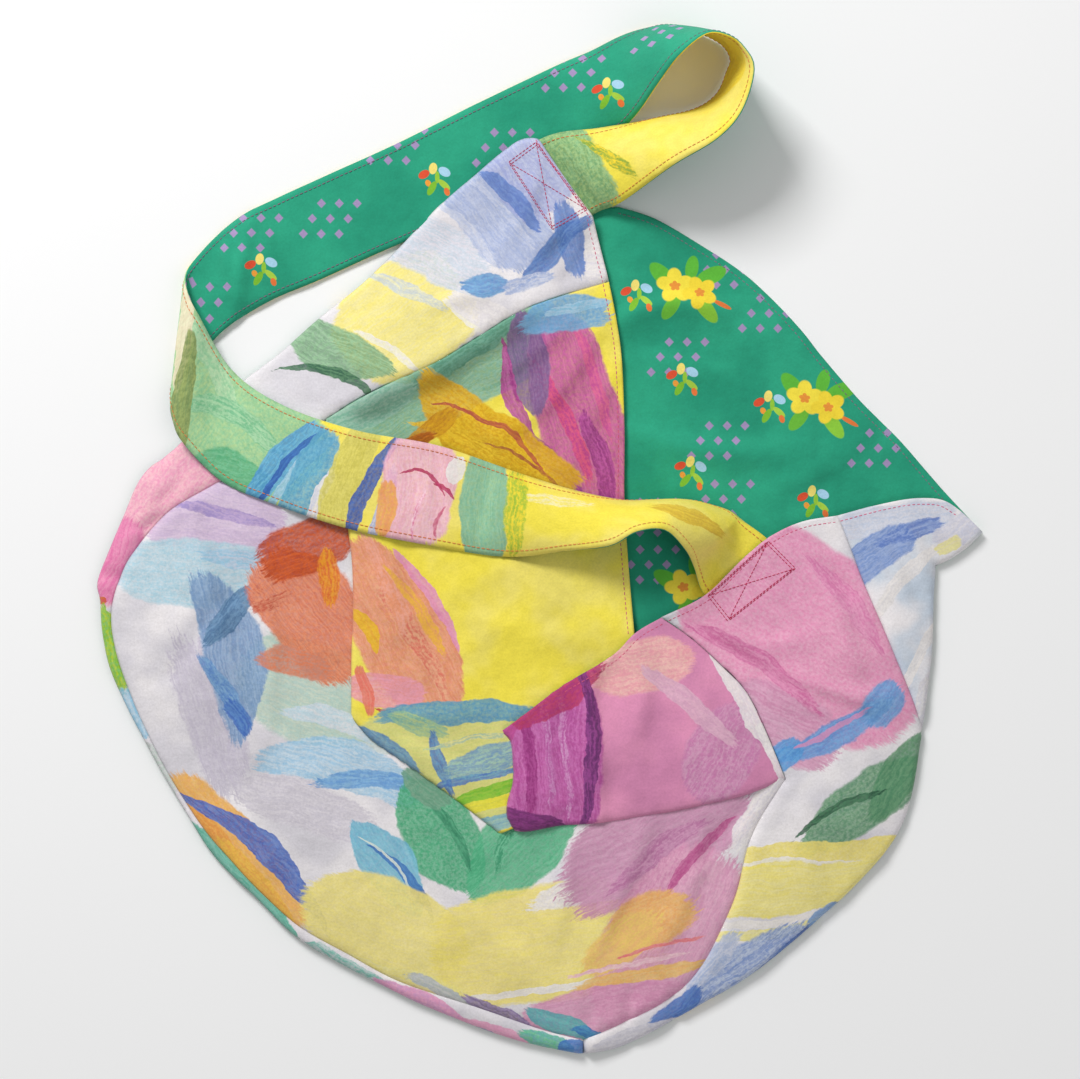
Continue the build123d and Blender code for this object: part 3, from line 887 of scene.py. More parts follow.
def thread_material():
    """Sewing thread, in the colour that each stitch carries."""
    def paint(g, spot, place, grain):
        tint = g.add("ShaderNodeAttribute", attribute_name="thread_colour").outputs["Color"]
        return g.scale(tint, g.between(grain, 0.3, 0.7, 0.8, 1.08))
    return cloth_material("sewing_thread", paint)


WHITE, PALE, ICE = ink(240, 235, 236), ink(216, 212, 218), ink(196, 208, 222)
PINK, ROSE, LILAC = ink(229, 150, 186), ink(208, 134, 172), ink(165, 145, 188)
YELLOW, YELLOW_SOFT = ink(246, 228, 78), ink(242, 226, 112)
GREEN, GREEN_DEEP, WHITE_CLOTH = ink(44, 166, 130), ink(34, 150, 118), ink(228, 224, 220)
CRIMSON, THREAD_PINK = ink(196, 34, 84), ink(220, 96, 132)
THREAD_ORANGE, THREAD_MAUVE = ink(224, 132, 74), ink(132, 112, 132)

SPRIG = [
    (-5.2, 2.6, 30, 2.6, 1.7, 0, ink(226, 84, 52)), (-1.2, 5.2, 80, 2.5, 1.8, 0, ink(246, 226, 120)),
    (3.8, 3.8, -30, 2.8, 1.9, 0, ink(170, 212, 236)), (-3.4, -1.2, -60, 1.5, 1.2, 0, ink(240, 160, 60)),
    (0.6, 1.4, 90, 2.6, 1.0, 0, ink(150, 200, 60)), (-1.8, -3.4, 60, 3.4, 1.5, 0, ink(128, 190, 50)),
    (3.6, -1.8, -40, 3.2, 1.3, 0, ink(170, 208, 70)), (4.8, -4.8, -70, 1.8, 1.2, 0, ink(236, 120, 60)),
]
BLOOM = [
    (-9, 3, 150, 7, 3.2, 0, ink(96, 186, 60)), (9, 8, 40, 6.5, 3.2, 0, ink(96, 186, 60)),
    (10, -5, -35, 7, 2.8, 0, ink(140, 200, 60)), (-3, -8, 250, 5.5, 2.6, 0, ink(110, 190, 60)),
    (1, 9, 95, 5, 2.6, 0, ink(96, 186, 60)), (16, -2, -10, 4, 0.9, 0, ink(226, 120, 60)),
    (-3.6, 0.5, 0, 7.4, 7.0, 5, ink(248, 226, 70)), (6.4, 0.4, 20, 7.0, 6.6, 5, ink(246, 218, 60)),
    (-3.6, 0.5, 0, 2.3, 2.0, 5, ink(236, 150, 60)), (6.4, 0.4, 0, 2.1, 1.9, 5, ink(236, 150, 60)),
]
EAR_MOTIFS = [
    ("sprig", 54, 133, 0), ("bloom", 79, 137, 15), ("diamonds", 102, 148, 0), ("diamonds", 126, 124, 0),
    ("sprig", 79, 87, 0), ("diamonds", 76, 100, 0), ("bloom", 150, 75, 20), ("sprig", 127, 72, 0),
    ("diamonds", 98, 54, 0), ("sprig", 83, 36, 10), ("diamonds", 186, 50, 0), ("sprig", 151, 20, 0),
    ("diamonds", 101, 22, 0), ("bloom", 84, -27, 0), ("diamonds", 60, -14, 0), ("diamonds", 60, 12, 0),
]
EAR_TILE = ((44, -46), (200, 230))
STRAP_MOTIFS = [
    ("sprig", 38, 243, 0), ("diamonds", 18, 256, 0), ("diamonds", 66, 275, 0), ("sprig", -57, 197, 0),
    ("diamonds", -20, 215, 0), ("diamonds", -78, 216, 0), ("diamonds", -115, 176, 0), ("sprig", -152, 147, 0),
    ("diamonds", -158, 168, 0), ("diamonds", -186, 130, 0),
]
STRAP_TILE = ((-206, 96), (320, 190))

def hex_ink(digits):
    """An ink from its red, green and blue pairs of hex digits."""
    return ink(*(int(digits[k:k + 2], 16) for k in (0, 2, 4)))


def strokes(text):
    """Brush strokes, one to a line: x, y, heading, half length, half width, bend, taper, raggedness, inks."""
    rows = [line.split() for line in text.strip().splitlines()]
    return [(*map(float, row[:8]), hex_ink(row[8]), hex_ink(row[9])) for row in rows]


BAND_STROKES = strokes("""
-74 120 35 38 31 0 0 0.15 f6e670 f2e696
-82 104 -33 22 2 0.1 0 0.4 f0ecce f0eae6
-43 123 -38 13 2 0 0 0.3 f0ecd8 f0eae6
-72 136 -22 23 3.5 0.1 0.2 0.5 c4ced6 e8e4be
-33 125 -30 19 7.5 0 0 0.3 ece6e4 e2dcde
-57 158 -25 31 16.5 0 0 0.4 c6d2de e0dce4
-22 178 -52 34 21 0 0 0.3 9cacd4 bec6de
-5 200 -50 25 21 0 0 0.2 a0a8d6 bcc2de
-38 169 -48 24 2 0.1 0 0.4 d6d8e4 bec6de
-22 183 -44 28 2 0.15 0 0.4 ced2e4 b0bcdc
-14 188 -44 23 5 0.2 0.3 0.4 5c7ac0 7894ce
17 163 -76 20 8 0 0.2 0.4 5678be 7896ce
7 158 44 28 6 0.1 0.3 0.4 4e74ba 7094cc
-30 139 -4 14 6 0 0.3 0.6 5488c4 78acd4
-6 140 20 14 4.5 0 0.2 0.6 a0b0d6 ced2e2
32 149 0 7 9.5 0 0 0.2 f0eae6 e2dce2
-112 103 -27 35 13 -0.1 0.35 0.3 709c74 96c096
-112 92 -22 32 3 0.35 0.5 0.4 245842 608c68
-213 22 50 65 34 0 0 0.15 f0b4be e898b6
-231 -12 68 25 10 0 0 0.3 de6ea4 e896b8
-240 -35 0 4 2 0 0 0.2 ce5032 ce6e32
-235 -61 -76 25 7 0 0 0.3 6cba22 b0c824
-223 -97 -63 16 6.5 0 0 0.3 80bedc bed4e2
-209 -127 -62 16 5.5 0 0 0.3 d6d6d6 bed0c4
-165 -188 -46 50 6 0 0 0.2 3ca88c 78beaa
-104 -236 -30 28 5 0 0 0.3 5ab4a0 c4cece
-66 -255 -24 29 6 0 0 0.3 e296ba ce96be
-22 -272 -20 24 5.5 0 0 0.3 e296ba e8aac4
-33 -270 -20 11 3 0 0 0.5 6e64a0 968cbe
3 -276 -24 16 5 0 0.2 0.3 56b0aa 6ec496
18 -281 -10 8 4.5 0 0 0.2 3c6ebe 5a8cc8
""")
# Print of the front panel. The thin dark magenta stroke at 86 -171 is not print: it follows the crease from 116
# -144 to 81 -183 and is painted shade in that crease.
FRONT_STROKES = strokes("""
-178 -96 -72 44 17 0.1 0.2 0.7 c4bccc d2ccd6
-128 -146 -18 40 14 0 0.2 0.7 ccc6d0 dcd6dc
-96 -100 -8 46 15 0 0.2 0.8 c8d8d2 d6dcda
-178 12 -8 40 20 0 0 0.3 c6aece d8c2d8
-170 14 -12 29 3.5 0.1 0.3 0.5 9a88c0 bea6cc
-190 -18 -3 42 17.5 0 0 0.3 c4d6de aacedc
-159 -12 -10 25 5 0 0.2 0.5 96c4dc c4cede
-125 -83 -22 41 26.5 0 0.1 0.3 b2cec2 cad6c4
-166 -62 -77 48 16.5 0.2 0.3 0.3 7092be 98b2d0
-169 -40 48 22 6.5 0.1 0.3 0.5 466c92 6e92b4
-171 -83 -60 24 5 0.1 0.3 0.5 5482c0 82aace
-164 -97 -50 10 5 0 0 0.5 4068b8 608cc8
-107 -122 -15 45 13 0.2 0.1 0.3 96c4e0 c6d8e4
-94 -130 -3 28 5 0.15 0.2 0.5 6096d2 8cbade
-115 -97 -20 24 5 0.2 0.2 0.5 bed6e2 dadee2
-123 -40 -52 41 25.5 0.1 0.1 0.25 d66c44 e88e66
-132 -67 -12 22 8 0.1 0.2 0.6 cc8e7c e0825c
-126 -3 24 29 14.5 0 0 0.4 b03e1a d05c28
-115 -20 -84 16 5.5 0 0.2 0.5 eca028 dc6e32
-145 -34 20 11 3.5 0 0 0.7 c4543c e29678
-54 -161 -58 35 20 0 0.35 0.2 58b486 46a678
-12 -170 40 36 21 0.1 0.35 0.25 46ac7c 68be92
-49 -159 -58 22 3 0.1 0.3 0.4 328260 5aaa82
-17 -163 60 19 3.5 0.2 0.3 0.4 3c966e 78c49c
-62 -136 -45 15 7.5 0 0 0.3 6a9e82 82aa90
-81 -179 -56 32 15 0.1 0.45 0.15 6cb2ce 84c4d6
-71 -185 -52 28 4 0.2 0.5 0.15 3c6cb4 568cc8
-78 -178 -54 24 1 0.25 0.4 0.1 e2e8dc c4d8d8
-167 -172 -50 55 18 0 0.1 0.2 eea83e f0bc64
-179 -160 -50 28 4.5 0.1 0.2 0.5 e89646 f0b05a
-153 -188 -50 33 5 0.1 0.2 0.5 f4c450 ecaa50
-150 -169 -43 62 6.5 0.22 0.5 0.1 3a5eb4 6886c8
-83 -212 -24 47 25.5 0.1 0.1 0.2 f2e27a f0e08c
5 -221 6 64 32 0 0 0.2 f3e270 f0de8a
-66 -245 -20 61 6.5 0 0.2 0.3 f0e282 eee4a0
11 -245 8 53 2 0 0 0.3 f0eae6 e8e2de
28 -192 8 33 7 0.1 0.2 0.6 f0eae6 e4dede
62 -164 30 57 26.5 0.1 0.1 0.4 c484a8 d29ab8
73 -223 62 57 36.5 0 0.1 0.25 d68eb2 e4acc4
38 -259 12 51 16.5 0 0.1 0.3 d890b4 e4a8c4
86 -171 48 31 3 0.1 0.4 0.3 ba4a88 ce78a4
62 -171 36 33 5.5 0.1 0.3 0.6 b6709c ce96b6
60 -207 28 25 14 0.1 0.2 0.8 f0c070 ecac64
44 -221 40 25 10 0 0.2 0.6 f0ce6e f0be78
55 -238 12 36 4 0 0.2 0.6 f0ba60 eec882
66 -220 14 24 1 0.1 0 0.5 e46e78 e89696
47 -232 12 33 1.5 0 0 0.5 f0ced2 e8b4c4
12 -267 -25 21 5.5 0 0.3 0.3 58a8b2 70c0be
28 -273 -14 12 3 0 0.3 0.3 3c78be 5aa0c8
-22 -259 -24 22 3 0 0.2 0.6 786496 aa96be
-55 -248 -26 22 3.5 0 0.2 0.6 b4bec4 cecece
120 -150 56 24 8 0 0.3 0.3 f0eae6 ded8de
""")
EAR_STROKES = strokes("""
-55 90 31 72 25.5 0 0 0.15 6ca892 8ebca6
-38 104 31 38 5.5 0 0.2 0.5 54927a 78b098
-93 71 28 28 7.5 0 0.2 0.5 a6cab8 82b69e
21 70 -72 57 24 -0.1 0.2 0.2 b44494 d068a4
31 88 -70 33 3.5 0.1 0.2 0.5 e26e96 c85496
15 66 -66 38 4 0.1 0.2 0.5 e05a82 be468c
33 44 -74 28 5.5 0.1 0.2 0.5 92327c be5aa0
11 38 -52 28 5 0.1 0.3 0.5 883e82 b45096
-6 95 -82 30 11.5 0 0.35 0.2 74568a 8e7098
-15 76 -72 34 4 -0.2 0.4 0.2 a63686 c464a4
14 124 12 25 11 0.15 0.2 0.45 80b2d6 6ca4ce
20 128 14 19 3 0.1 0.2 0.5 b0cee2 8cbed8
-28 52 -36 54 18 -0.2 0.25 0.15 e6b81e d49e18
-38 54 -30 33 4 0.2 0.3 0.4 f0c832 d6a41e
-60 60 40 19 5.5 0.1 0.2 0.5 ba7818 d6a01e
-68 52 30 12 5 0 0.2 0.5 a04e12 c46e1e
-22 62 -33 40 1.5 0.25 0.2 0.2 a63842 c46e3c
0 38 -38 33 1 0.2 0.2 0.2 a0463c c88c32
-76 -50 -62 55 24 0 0.15 0.15 e2826e eca288
-66 -56 -60 38 4.5 0.1 0.2 0.5 eeb08c de7864
-82 -23 -66 28 5 0.1 0.2 0.5 f0aa96 e8966e
-59 -31 -59 34 3 0.1 0.2 0.2 e48cb4 e8a0be
-66 -38 -58 29 3.5 0.1 0.3 0.5 f0ba3c e8a064
-94 -47 -56 16 4 0.2 0.5 0.2 eec028 e8aa32
-84 -83 -8 22 10 0 0.2 0.3 eca2b6 e89696
-77 -95 6 13 1.5 -0.3 0.5 0.3 b82e3c d25a5a
-95 -82 -80 14 3.5 0 0 0.3 e66e5a e88c78
-44 -122 4 62 33 0 0 0.1 d0d484 ded888
-44 -94 2 44 6 0.05 0 0.3 6ca6b4 5a96b8
-66 -101 -14 16 5 0 0.2 0.4 82b4a0 b4c88c
-82 -113 -32 24 4 0.15 0.2 0.5 4c80b4 78a6be
-54 -122 -72 19 3.5 0 0.2 0.5 466eb0 6ea0c4
-29 -120 16 25 7 0.1 0.1 0.5 6c96be a0c4b4
-34 -108 6 28 1.5 0.1 0.1 0.5 a0beaa e2dc96
-33 -129 14 28 2 0.1 0.1 0.5 5078be 78aabe
-28 -137 18 23 3.5 0.1 0.1 0.4 6cbe28 96c83c
-28 -144 18 25 3.5 0.1 0.1 0.4 f0e43c e2dc46
-22 -155 16 16 4.5 0 0 0.4 6eaac8 a0c8be
""")
# Print of the right fold, with painted light in three rows: the white strokes at 109 -83 and 127 -117 lie along
# seam 3 and are a painted highlight on its ridge, and the dark purple stripe at 29 -111 lies along the inner
# fold and is painted shadow where the mauve part overlaps the purple.
RIGHT_FOLD_STROKES = strokes("""
99 -116 60 28 18.5 0 0.2 0.4 c67caa d49ebc
56 -69 12 28 15.5 0 0.1 0.4 eaa2a8 f0c0b6
83 -91 -40 33 5.5 0 0.2 0.4 e4b8ca d8a6c0
109 -83 -61 41 4.5 0.05 0.2 0.05 f0eae6 e2d8de
127 -117 -70 19 4 0 0 0.05 f0eae6 e2d8de
6 -115 -86 53 27.5 0 0 0.1 b04694 ca70b2
5 -108 -84 38 2 0.1 0.1 0.5 d696c8 be60a4
15 -117 -86 35 2 0.1 0.1 0.5 dca0ce be60a4
-5 -119 -84 33 3 0.1 0.1 0.5 962e78 b45096
9 -86 32 33 9 -0.1 0.1 0.3 be4062 b03878
-8 -154 -14 20 6 0 0 0.4 622860 8c3c82
29 -111 -89 51 3.5 0.15 0 0.2 582660 96468c
-20 -108 60 9 5 0 0 0.3 ce5a96 be5096
-18 -122 -80 9 3 0 0 0.3 6e78be 5082b4
""")
GORE_STROKES = strokes("""
148 -51 -34 73 46 0 0 0.12 e89ebe e28eb4
130 -101 -24 36 20 0 0.1 0.4 d08eb0 deaac4
121 -67 -36 44 5.5 0.1 0.3 0.4 ce689c e296ba
169 -34 -52 33 5.5 0.1 0.3 0.4 d678a8 e6a0c0
160 -108 25 38 6.5 -0.15 0.2 0.7 5c8ece 7aacde
133 -117 40 12 8 0 0.1 0.4 5496d6 6eaade
187 -91 50 13 9.5 0 0.1 0.5 6296d0 82b0de
160 -105 24 22 1.5 -0.1 0 0.5 d896be c896c4
180 -142 33 51 14.5 0.1 0.45 0.4 7aa880 5e9270
196 -130 56 28 10 0 0.2 0.3 4c8862 6ea078
162 -147 28 28 2 0.15 0.3 0.5 224e3a 508260
153 -172 4 62 7 0 0 0.3 f4e482 f0de78
143 -177 3 35 2 0 0.2 0.3 f0eae6 ece6d2
143 -191 5 64 14 0 0 0.2 f2e270 f4e898
121 -210 5 36 2 0 0 0.3 f0eae6 ece6de
127 -215 6 41 3 0 0.1 0.3 f0e684 f4eaaa
109 -240 38 47 15 0.1 0.1 0.4 708eca becae0
94 -232 50 22 6.5 0 0.2 0.6 aabada ced2e2
136 -227 38 28 4.5 0 0.2 0.4 3a5aa2 6082c4
75 -257 40 18 6.5 0 0.1 0.4 466ebe 648ccc
156 -208 40 10 4.5 0 0 0.4 6e96cc 96b4d6
55 -273 18 28 5.5 0 0 0.3 cecbd6 e0dce2
""")
CORNER_STROKES = strokes("""
196 10 6 33 9.5 0 0 0.3 d6d6e0 c4ccde
183 -9 34 24 11 0.1 0.1 0.4 6c8ac6 98acd6
202 3 20 19 4.5 0 0.1 0.5 5a78be 96aad6
196 -26 50 31 3.5 0.1 0 0.4 f0eae6 e2dede
207 -67 66 25 3 0 0 0.4 f0eae6 e2dede
212 -89 70 16 5.5 0 0 0.3 d6d2da e2dede
230 5 30 16 7.5 0 0 0.3 cecede e0dce2
224 -3 30 8 4 0 0 0.3 f0e896 ece2b4
""")
STRAP_STROKES = strokes("""
-172 79 -50 66 36.5 0 0 0.1 a0d0a2 8cc698
-179 92 -60 33 4.5 0.1 0.2 0.4 bedeb4 96cc9e
-171 40 -22 26 11 0.1 0.2 0.5 50a878 78be92
-165 66 -30 33 5 0.1 0.2 0.5 6eb88a aad6aa
-193 113 80 28 5 0 0.2 0.15 eee4c4 e2d6b4
-195 79 80 28 6 0 0.2 0.15 98a45c 788c54
-142 42 46 31 8 0.1 0.1 0.2 4c92c8 70b6d8
-134 36 48 28 3 0.15 0.1 0.2 8cbed8 b0d2e2
-139 41 47 29 2 0.2 0.2 0.15 3058aa 4678be
-126 32 64 28 9.5 0 0.1 0.15 6eb4ce 5aa0c4
-120 23 66 16 3 0 0 0.2 f0eae6 d6d4e2
-105 34 70 31 11 0.1 0 0.1 ded470 cec45c
-94 28 62 33 4 0.15 0.1 0.15 34509e 4c6eb8
-86 18 70 22 3.5 0 0.2 0.3 96aad6 d6cede
-66 26 82 28 20 0 0 0.2 eaa8c4 f2c2d0
-62 34 -24 14 1 0.4 0.2 0.2 aa1e46 c85078
-51 27 -30 7 1 0.2 0.2 0.2 aa1e46 c85078
-55 10 70 9 1 0.2 0.2 0.3 c85a78 dc8ca0
-67 15 80 12 1 0.2 0.2 0.3 dc78a0 fad2dc
-84 18 84 13 5 0 0.1 0.4 ee9e54 eeb45a
-46 36 70 7 4.5 0 0.3 0.1 f0eae6 ece6e2
-30 17 88 30 13 0 0 0.15 6cb096 8ec0a2
-13 17 86 28 5 0 0 1 96be3c f4dc3c
11 24 0 19 3.5 0 0.3 0.6 f4ecbe f4e46e
80 12 -14 22 5.5 0.1 0.2 0.4 d6ae32 e8c840
19 202 -62 28 15 0 0 0.5 8ec08e 70a270
37 208 -40 20 3 0.1 0.2 1 78a03c f0d232
88 268 0 38 25.5 0 0 0.1 f4de3c ecce2c
""")


# ---------------------------------------------------------------- camera, light and floor

def make_camera():
    """Looks straight down on the bag from high above it."""
    lens, sensor, width = 90.0, 36.0, 0.594
    data = bpy.data.cameras.new("camera")
    data.lens, data.sensor_width = lens, sensor
    camera = bpy.data.objects.new("camera", data)
    camera.location = (0.0002, -0.0002, width * lens / sensor)
    data.clip_end = 20
    bpy.context.scene.collection.objects.link(camera)
    bpy.context.scene.camera = camera


def make_studio():
    """A pale floor, a broad soft light from the upper left, and an even white surround."""
    world = bpy.data.worlds.new("surround")
    world.use_nodes = True
    world.node_tree.nodes["Background"].inputs[0].default_value = (1, 1, 1, 1)
    world.node_tree.nodes["Background"].inputs[1].default_value = 0.38
    bpy.context.scene.world = world
    for name, spot, size, power in (("key", (-0.9, 1.5, 1.35), 0.7, 39),
                                    ("fill", (1.3, -0.9, 1.5), 1.4, 6)):
        data = bpy.data.lights.new(name, "AREA")
        data.size, data.energy = size, power
        light = bpy.data.objects.new(name, data)
        light.location = spot
        light.rotation_euler = (-Vector(spot)).to_track_quat("-Z", "Y").to_euler()
        bpy.context.scene.collection.objects.link(light)
    mesh = bpy.data.meshes.new("floor")
    corners = [(-4, -4), (4, -4), (4, 4), (-4, 4)]
    mesh.from_pydata([(x, y, FLOOR_HEIGHT) for x, y in corners], [], [(0, 1, 2, 3)])
    floor = bpy.data.objects.new("floor", mesh)
    material = bpy.data.materials.new("floor_paper")
    material.use_nodes = True
    material.node_tree.nodes["Principled BSDF"].inputs["Base Color"].default_value = (0.93, 0.93, 0.93, 1)
    material.node_tree.nodes["Principled BSDF"].inputs["Roughness"].default_value = 0.9
    mesh.materials.append(material)
    bpy.context.scene.collection.objects.link(floor)
    bpy.context.scene.view_settings.view_transform = "Standard"


make_camera()
make_studio()

stroke_tree, dab_tree, diamonds_tree = stroke_group(), dab_group(), diamonds_group()
motif_trees = {"sprig": motif_group("Sprig", SPRIG, dab_tree, 1.25),
               "bloom": motif_group("Bloom", BLOOM, dab_tree, 1.4)}
band_cloth = printed("band_print", (WHITE, PALE), BAND_STROKES)
front_cloth = printed("front_print_and_crease_shade", (WHITE, PALE), FRONT_STROKES)
ear_cloth = printed("ear_print", (YELLOW, YELLOW_SOFT), EAR_STROKES)
right_fold_cloth = printed("right_fold_print_and_painted_light", (PINK, ROSE), RIGHT_FOLD_STROKES)
gore_cloth = printed("right_gore_print", (WHITE, PALE), GORE_STROKES)
corner_cloth = printed("corner_print", (WHITE, ICE), CORNER_STROKES)
back_cloth = printed("back_print", (WHITE, PALE), FRONT_STROKES[::3] + GORE_STROKES[::3] + BAND_STROKES[::3])
strap_cloth = printed("strap_print", (YELLOW, YELLOW_SOFT), STRAP_STROKES)
green_cloth = lining("lining_print", EAR_MOTIFS, EAR_TILE)
green_strap = lining("strap_lining_print", STRAP_MOTIFS, STRAP_TILE)
white_cloth = plain("interfacing_cloth", WHITE_CLOTH)
thread = thread_material()

# ---------------------------------------------------------------- the heap of cloth, from the floor up

def rim(path, side):
    """The rim of the back panel, just inside the rim of the gores that wrap round it."""
    return beside(smooth(path), side * 1.3)


back_outline = loop(BACK_HEM, rim(CORNER_FOLD, 1), rim(RIGHT_RIM_TOP, 1), rim(RIGHT_RIM, 1),
                    rim(LEFT_RIM[::-1], 1), BACK_FOLD[::-1], BACK_HIDDEN[::-1])
gore_outline = loop(BAND_FOLD, LEFT_RIM, LEFT_SEAM[::-1], UNDER_STRAP[::-1], BAND_SEAM[::-1], TIP_HEM[::-1],
                    TIP_EDGE[::-1])
front_outline = loop(LEFT_SEAM, SEAM_2[::-1], UNDER_FOLDS, UNDER_STRAP)
right_outline = loop(RIGHT_HEM, SEAM_4, RIGHT_RIM, SEAM_2[::-1], SEAM_3[::-1])
corner_outline = loop(CORNER_HEM, CORNER_FOLD, RIGHT_RIM_TOP, SEAM_4[::-1])
left_fold_outline = loop(LEFT_HEM, UNDER_RIGHT_FOLD, LEFT_FOLD_LOW[::-1], LEFT_FOLD[::-1], BAND_SEAM[::-1])
right_fold_outline = loop(RIGHT_FOLD_TOP, SEAM_3, RIGHT_FOLD_LOW[::-1], RIGHT_FOLD_EDGE[::-1])

pile = np.zeros(grid_shape)
back_mask = covered(back_outline)
back = Sheet(back_outline, np.full(grid_shape, 1.3), BACK_FOLDS, [("hem", BACK_HEM)], seed=3, ripple=0.45)
pile = np.where(back_mask, back.grid_height() + PILE_GAP, pile)

all_left, all_right, _, all_station = strap_rows()
for first, last in ((0, 2.4), (12.5, 21), (36.6, 38)):
    part = (all_station >= first) & (all_station <= last)
    mask = covered(strap_outline(first, last))
    top = float((all_left[part, 2] + all_right[part, 2]).mean() / 2) + 1.2
    pile = np.where(mask, np.maximum(pile, top), pile)

body_outline = loop(BACK_FOLD, LEFT_RIM, RIGHT_RIM[::-1], RIGHT_RIM_TOP[::-1], CORNER_FOLD[::-1],
                    BACK_HEM[::-1], BACK_HIDDEN)
in_body = inside(grid_points, body_outline)
to_rim = from_path(grid_points, np.vstack([body_outline, body_outline[:1]]))[0]
to_mouth = from_path(grid_points, np.vstack([smooth(LEFT_HEM), smooth(RIGHT_HEM)]))[0]
opened = np.clip(to_mouth / MOUTH_REACH, 0, 1)
opened = MOUTH_SHARE + (1 - MOUTH_SHARE) * opened * opened * (3 - 2 * opened)
air = np.where(in_body, AIR * (1 - np.exp(-to_rim / RIM_RISE)) * opened, 0).reshape(grid_shape)
skin_mask = covered(gore_outline, front_outline, right_outline, corner_outline)
skin_field = relaxed(np.maximum(pile, air) + SKIN_GAP, skin_mask, 45)
beyond_skin = grown(skin_field, 14)

SEAMS = [("seam", LEFT_SEAM), ("seam", SEAM_2), ("seam", SEAM_4), ("seam", SEAM_3)]
RIMS = [("roll", LEFT_RIM, 2.2, 5), ("roll", RIGHT_RIM, 2.2, 5), ("roll", RIGHT_RIM_TOP, 2.2, 4),
        ("roll", BAND_FOLD, 2.4, 5), ("roll", CORNER_FOLD, 2.0, 4)]
HEMS = [("hem", TIP_EDGE), ("hem", TIP_HEM), ("hem", RIGHT_HEM), ("hem", CORNER_HEM)]
skin_edges = SEAMS + RIMS + HEMS + [("seam", BAND_SEAM)]
skin = [Sheet(outline, skin_field, SKIN_FOLDS, skin_edges, seed=11)
        for outline in (gore_outline, front_outline, right_outline, corner_outline)]
gore, front, right, corner = skin
pile = np.where(skin_mask, np.maximum(pile, gore.grid_height() + PILE_GAP), pile)

left_mask = covered(left_fold_outline)
left_field = relaxed(pile + FOLD_GAP, left_mask, 20)
left_fold = Sheet(left_fold_outline, left_field, LEFT_FOLD_FOLDS,
                  [("roll", LEFT_FOLD, 1.7, 4), ("roll", LEFT_FOLD_LOW, 1.7, 4), ("hem", LEFT_HEM)], seed=21)
join = np.exp(-(from_path(grid_points, smooth(BAND_SEAM))[0].reshape(grid_shape) / 9) ** 2)
left_fold.field = left_field * (1 - join) + (beyond_skin + 0.1) * join
pile = np.where(left_mask, np.maximum(pile, left_fold.grid_height() + PILE_GAP), pile)

right_mask = covered(right_fold_outline)
right_field = relaxed(pile + FOLD_GAP, right_mask, 20)
right_fold = Sheet(right_fold_outline, right_field, RIGHT_FOLD_FOLDS,
                   [("roll", RIGHT_FOLD_EDGE, 2.2, 4), ("roll", RIGHT_FOLD_LOW, 2.4, 5),
                    ("hem", RIGHT_FOLD_TOP)], seed=31)
join = np.exp(-(from_path(grid_points, smooth(SEAM_3))[0].reshape(grid_shape) / 8) ** 2)
right_fold.field = right_field * (1 - join) + (beyond_skin + 0.9) * join
pile = np.where(right_mask, np.maximum(pile, right_fold.grid_height() + PILE_GAP), pile)

strap_field = relaxed(pile, covered(strap_outline(24.3, 35.6)), 160)

# ---------------------------------------------------------------- pieces

def make_back():
    """The back panel: its lining faces up, and its printed side lies on the floor."""
    points, faces = triangles(back_outline)
    height = np.maximum(back.height(points), 1.1)
    for name, drop, nodes, material, slot in (
            ("back_lining", 0, ["back_lining_panel", "back_ear_lining"], green_cloth, "green_lining"),
            ("back_panel", LAYER, ["back_outer_panel", "back_ear_outer"], back_cloth, "printed_cotton")):
        piece = mesh_piece(name, np.column_stack([points, np.maximum(height - drop, 0.28)]), faces,
                           np.column_stack([points, np.zeros(len(points))]))
        thicken(piece)
        piece.data.materials.append(material)
        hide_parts(*nodes)
        declare(piece, 0.58)
        attach(piece)


make_back()
# Each part: its sheet, the names of its outside and lining, their CAD nodes, its print,
# how it is held, and on what
PARTS = [
    (gore, "left_gore", "left_gore_inside", ["left_gore_outer", "ear_tip_outer"],
     ["left_gore_lining", "ear_tip_lining"], band_cloth, "folded", "back_lining"),
    (front, "front_panel", "front_inside", ["front_outer"], ["front_lining"],
     front_cloth, "laid", "back_lining"),
    (right, "right_gore", "right_gore_inside", ["right_gore_outer"], ["right_gore_lining"],
     gore_cloth, "laid", "back_lining"),
    (corner, "right_corner", "right_corner_inside", ["right_corner_outer"], ["right_corner_lining"],
     corner_cloth, "folded", "back_lining"),
    (left_fold, "left_fold", "left_fold_inside", ["left_pleat_outer"], ["left_pleat_lining"],
     ear_cloth, "folded", "front_panel"),
    (right_fold, "right_fold", "right_fold_inside", ["right_pleat_outer"], ["right_pleat_lining"],
     right_fold_cloth, "folded", "left_fold"),
]
for sheet, outer, inner, outer_nodes, inner_nodes, print_cloth, held, below in PARTS:
    sheet.build(outer, inner, outer_nodes, inner_nodes, (print_cloth, green_cloth), held, [below])

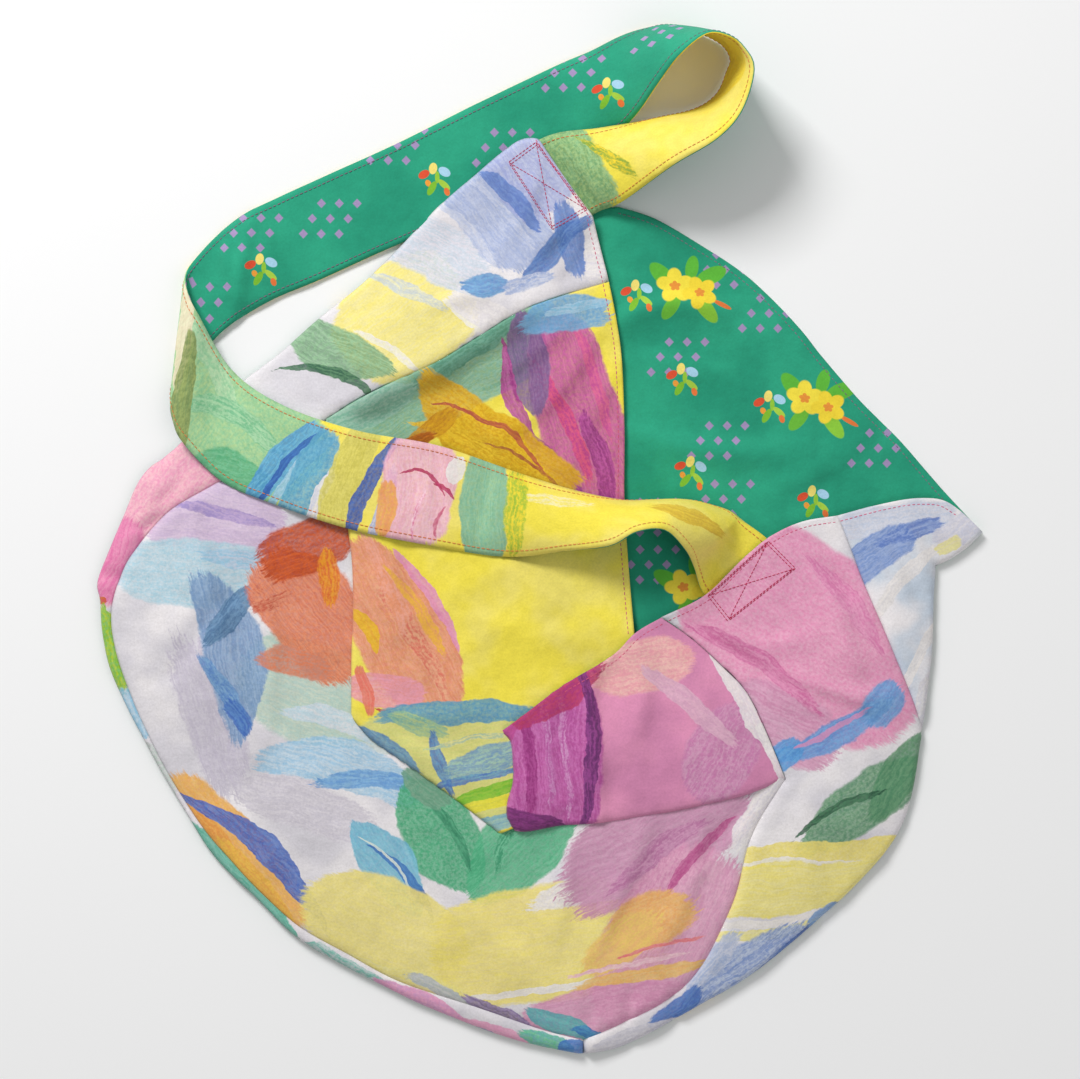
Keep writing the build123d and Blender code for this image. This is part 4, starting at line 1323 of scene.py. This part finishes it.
# Each layer of the strap: its name, share of the strap's width, lift, end of its CAD nodes' names,
# cloth and slot
LAYERS = [
    ("strap_face", 1.0, FACE_LIFT, "face", strap_cloth, "printed_cotton"),
    ("strap_interfacing", 0.93, 0.0, "interfacing", white_cloth, "interfacing"),
    ("strap_backing", 1.0, -FACE_LIFT, "backing", green_strap, "green_lining"),
]
for name, share_out, lift, ending, cloth, slot in LAYERS:
    nodes = ["strap_upper_" + ending, "strap_lower_" + ending]
    strap_layer(name, strap_field, share_out, lift, nodes, cloth)

stitch_share = 1 - 2 * STITCH_INSET / STRAP_WIDTH
strap_points, strap_facing = strap_surface(strap_field, np.array([-1, 1]) * stitch_share)
strap_runs = [(strap_points[:, k] + strap_facing * (FACE_LIFT + CLOTH / 2) * way, strap_facing * way, tint)
              for k in (0, 1) for way, tint in ((1, THREAD_ORANGE), (-1, THREAD_MAUVE))]
stitches("strap_stitching", strap_runs, ["strap_upper_topstitch", "strap_lower_topstitch"], thread)
stitches("front_hem_stitching",
         [run_on(left_fold, beside(smooth(LEFT_HEM), STITCH_INSET), THREAD_PINK),
          run_on(right, beside(smooth(RIGHT_HEM), STITCH_INSET), THREAD_PINK),
          run_on(corner, beside(smooth(CORNER_HEM[:-1]), STITCH_INSET), THREAD_PINK),
          run_on(right_fold, beside(smooth(RIGHT_FOLD_TOP[2:]), STITCH_INSET), THREAD_PINK)],
         ["front_mouth_topstitch"], thread)
stitches("back_hem_stitching", [run_on(back, beside(smooth(BACK_HEM), STITCH_INSET), THREAD_MAUVE)],
         ["back_mouth_topstitch"], thread)
stitches("ear_tip_stitching", [run_on(gore, beside(smooth(TIP_HEM), STITCH_INSET), THREAD_PINK),
                               run_on(gore, beside(smooth(TIP_EDGE), 1.6), THREAD_PINK)],
         ["ear_tip_topstitch"], thread)
stitches("left_box_stitching", box_and_cross(gore, [(-17, 206), (-2, 217), (26, 180), (7, 169)]),
         ["left_box_stitch"], thread, 2.3, 1.9, 0.42)
stitches("right_box_stitching", box_and_cross(right, [(92, -31), (125, -1), (140, -16), (103, -45)]),
         ["right_box_stitch"], thread, 2.3, 1.9, 0.42)
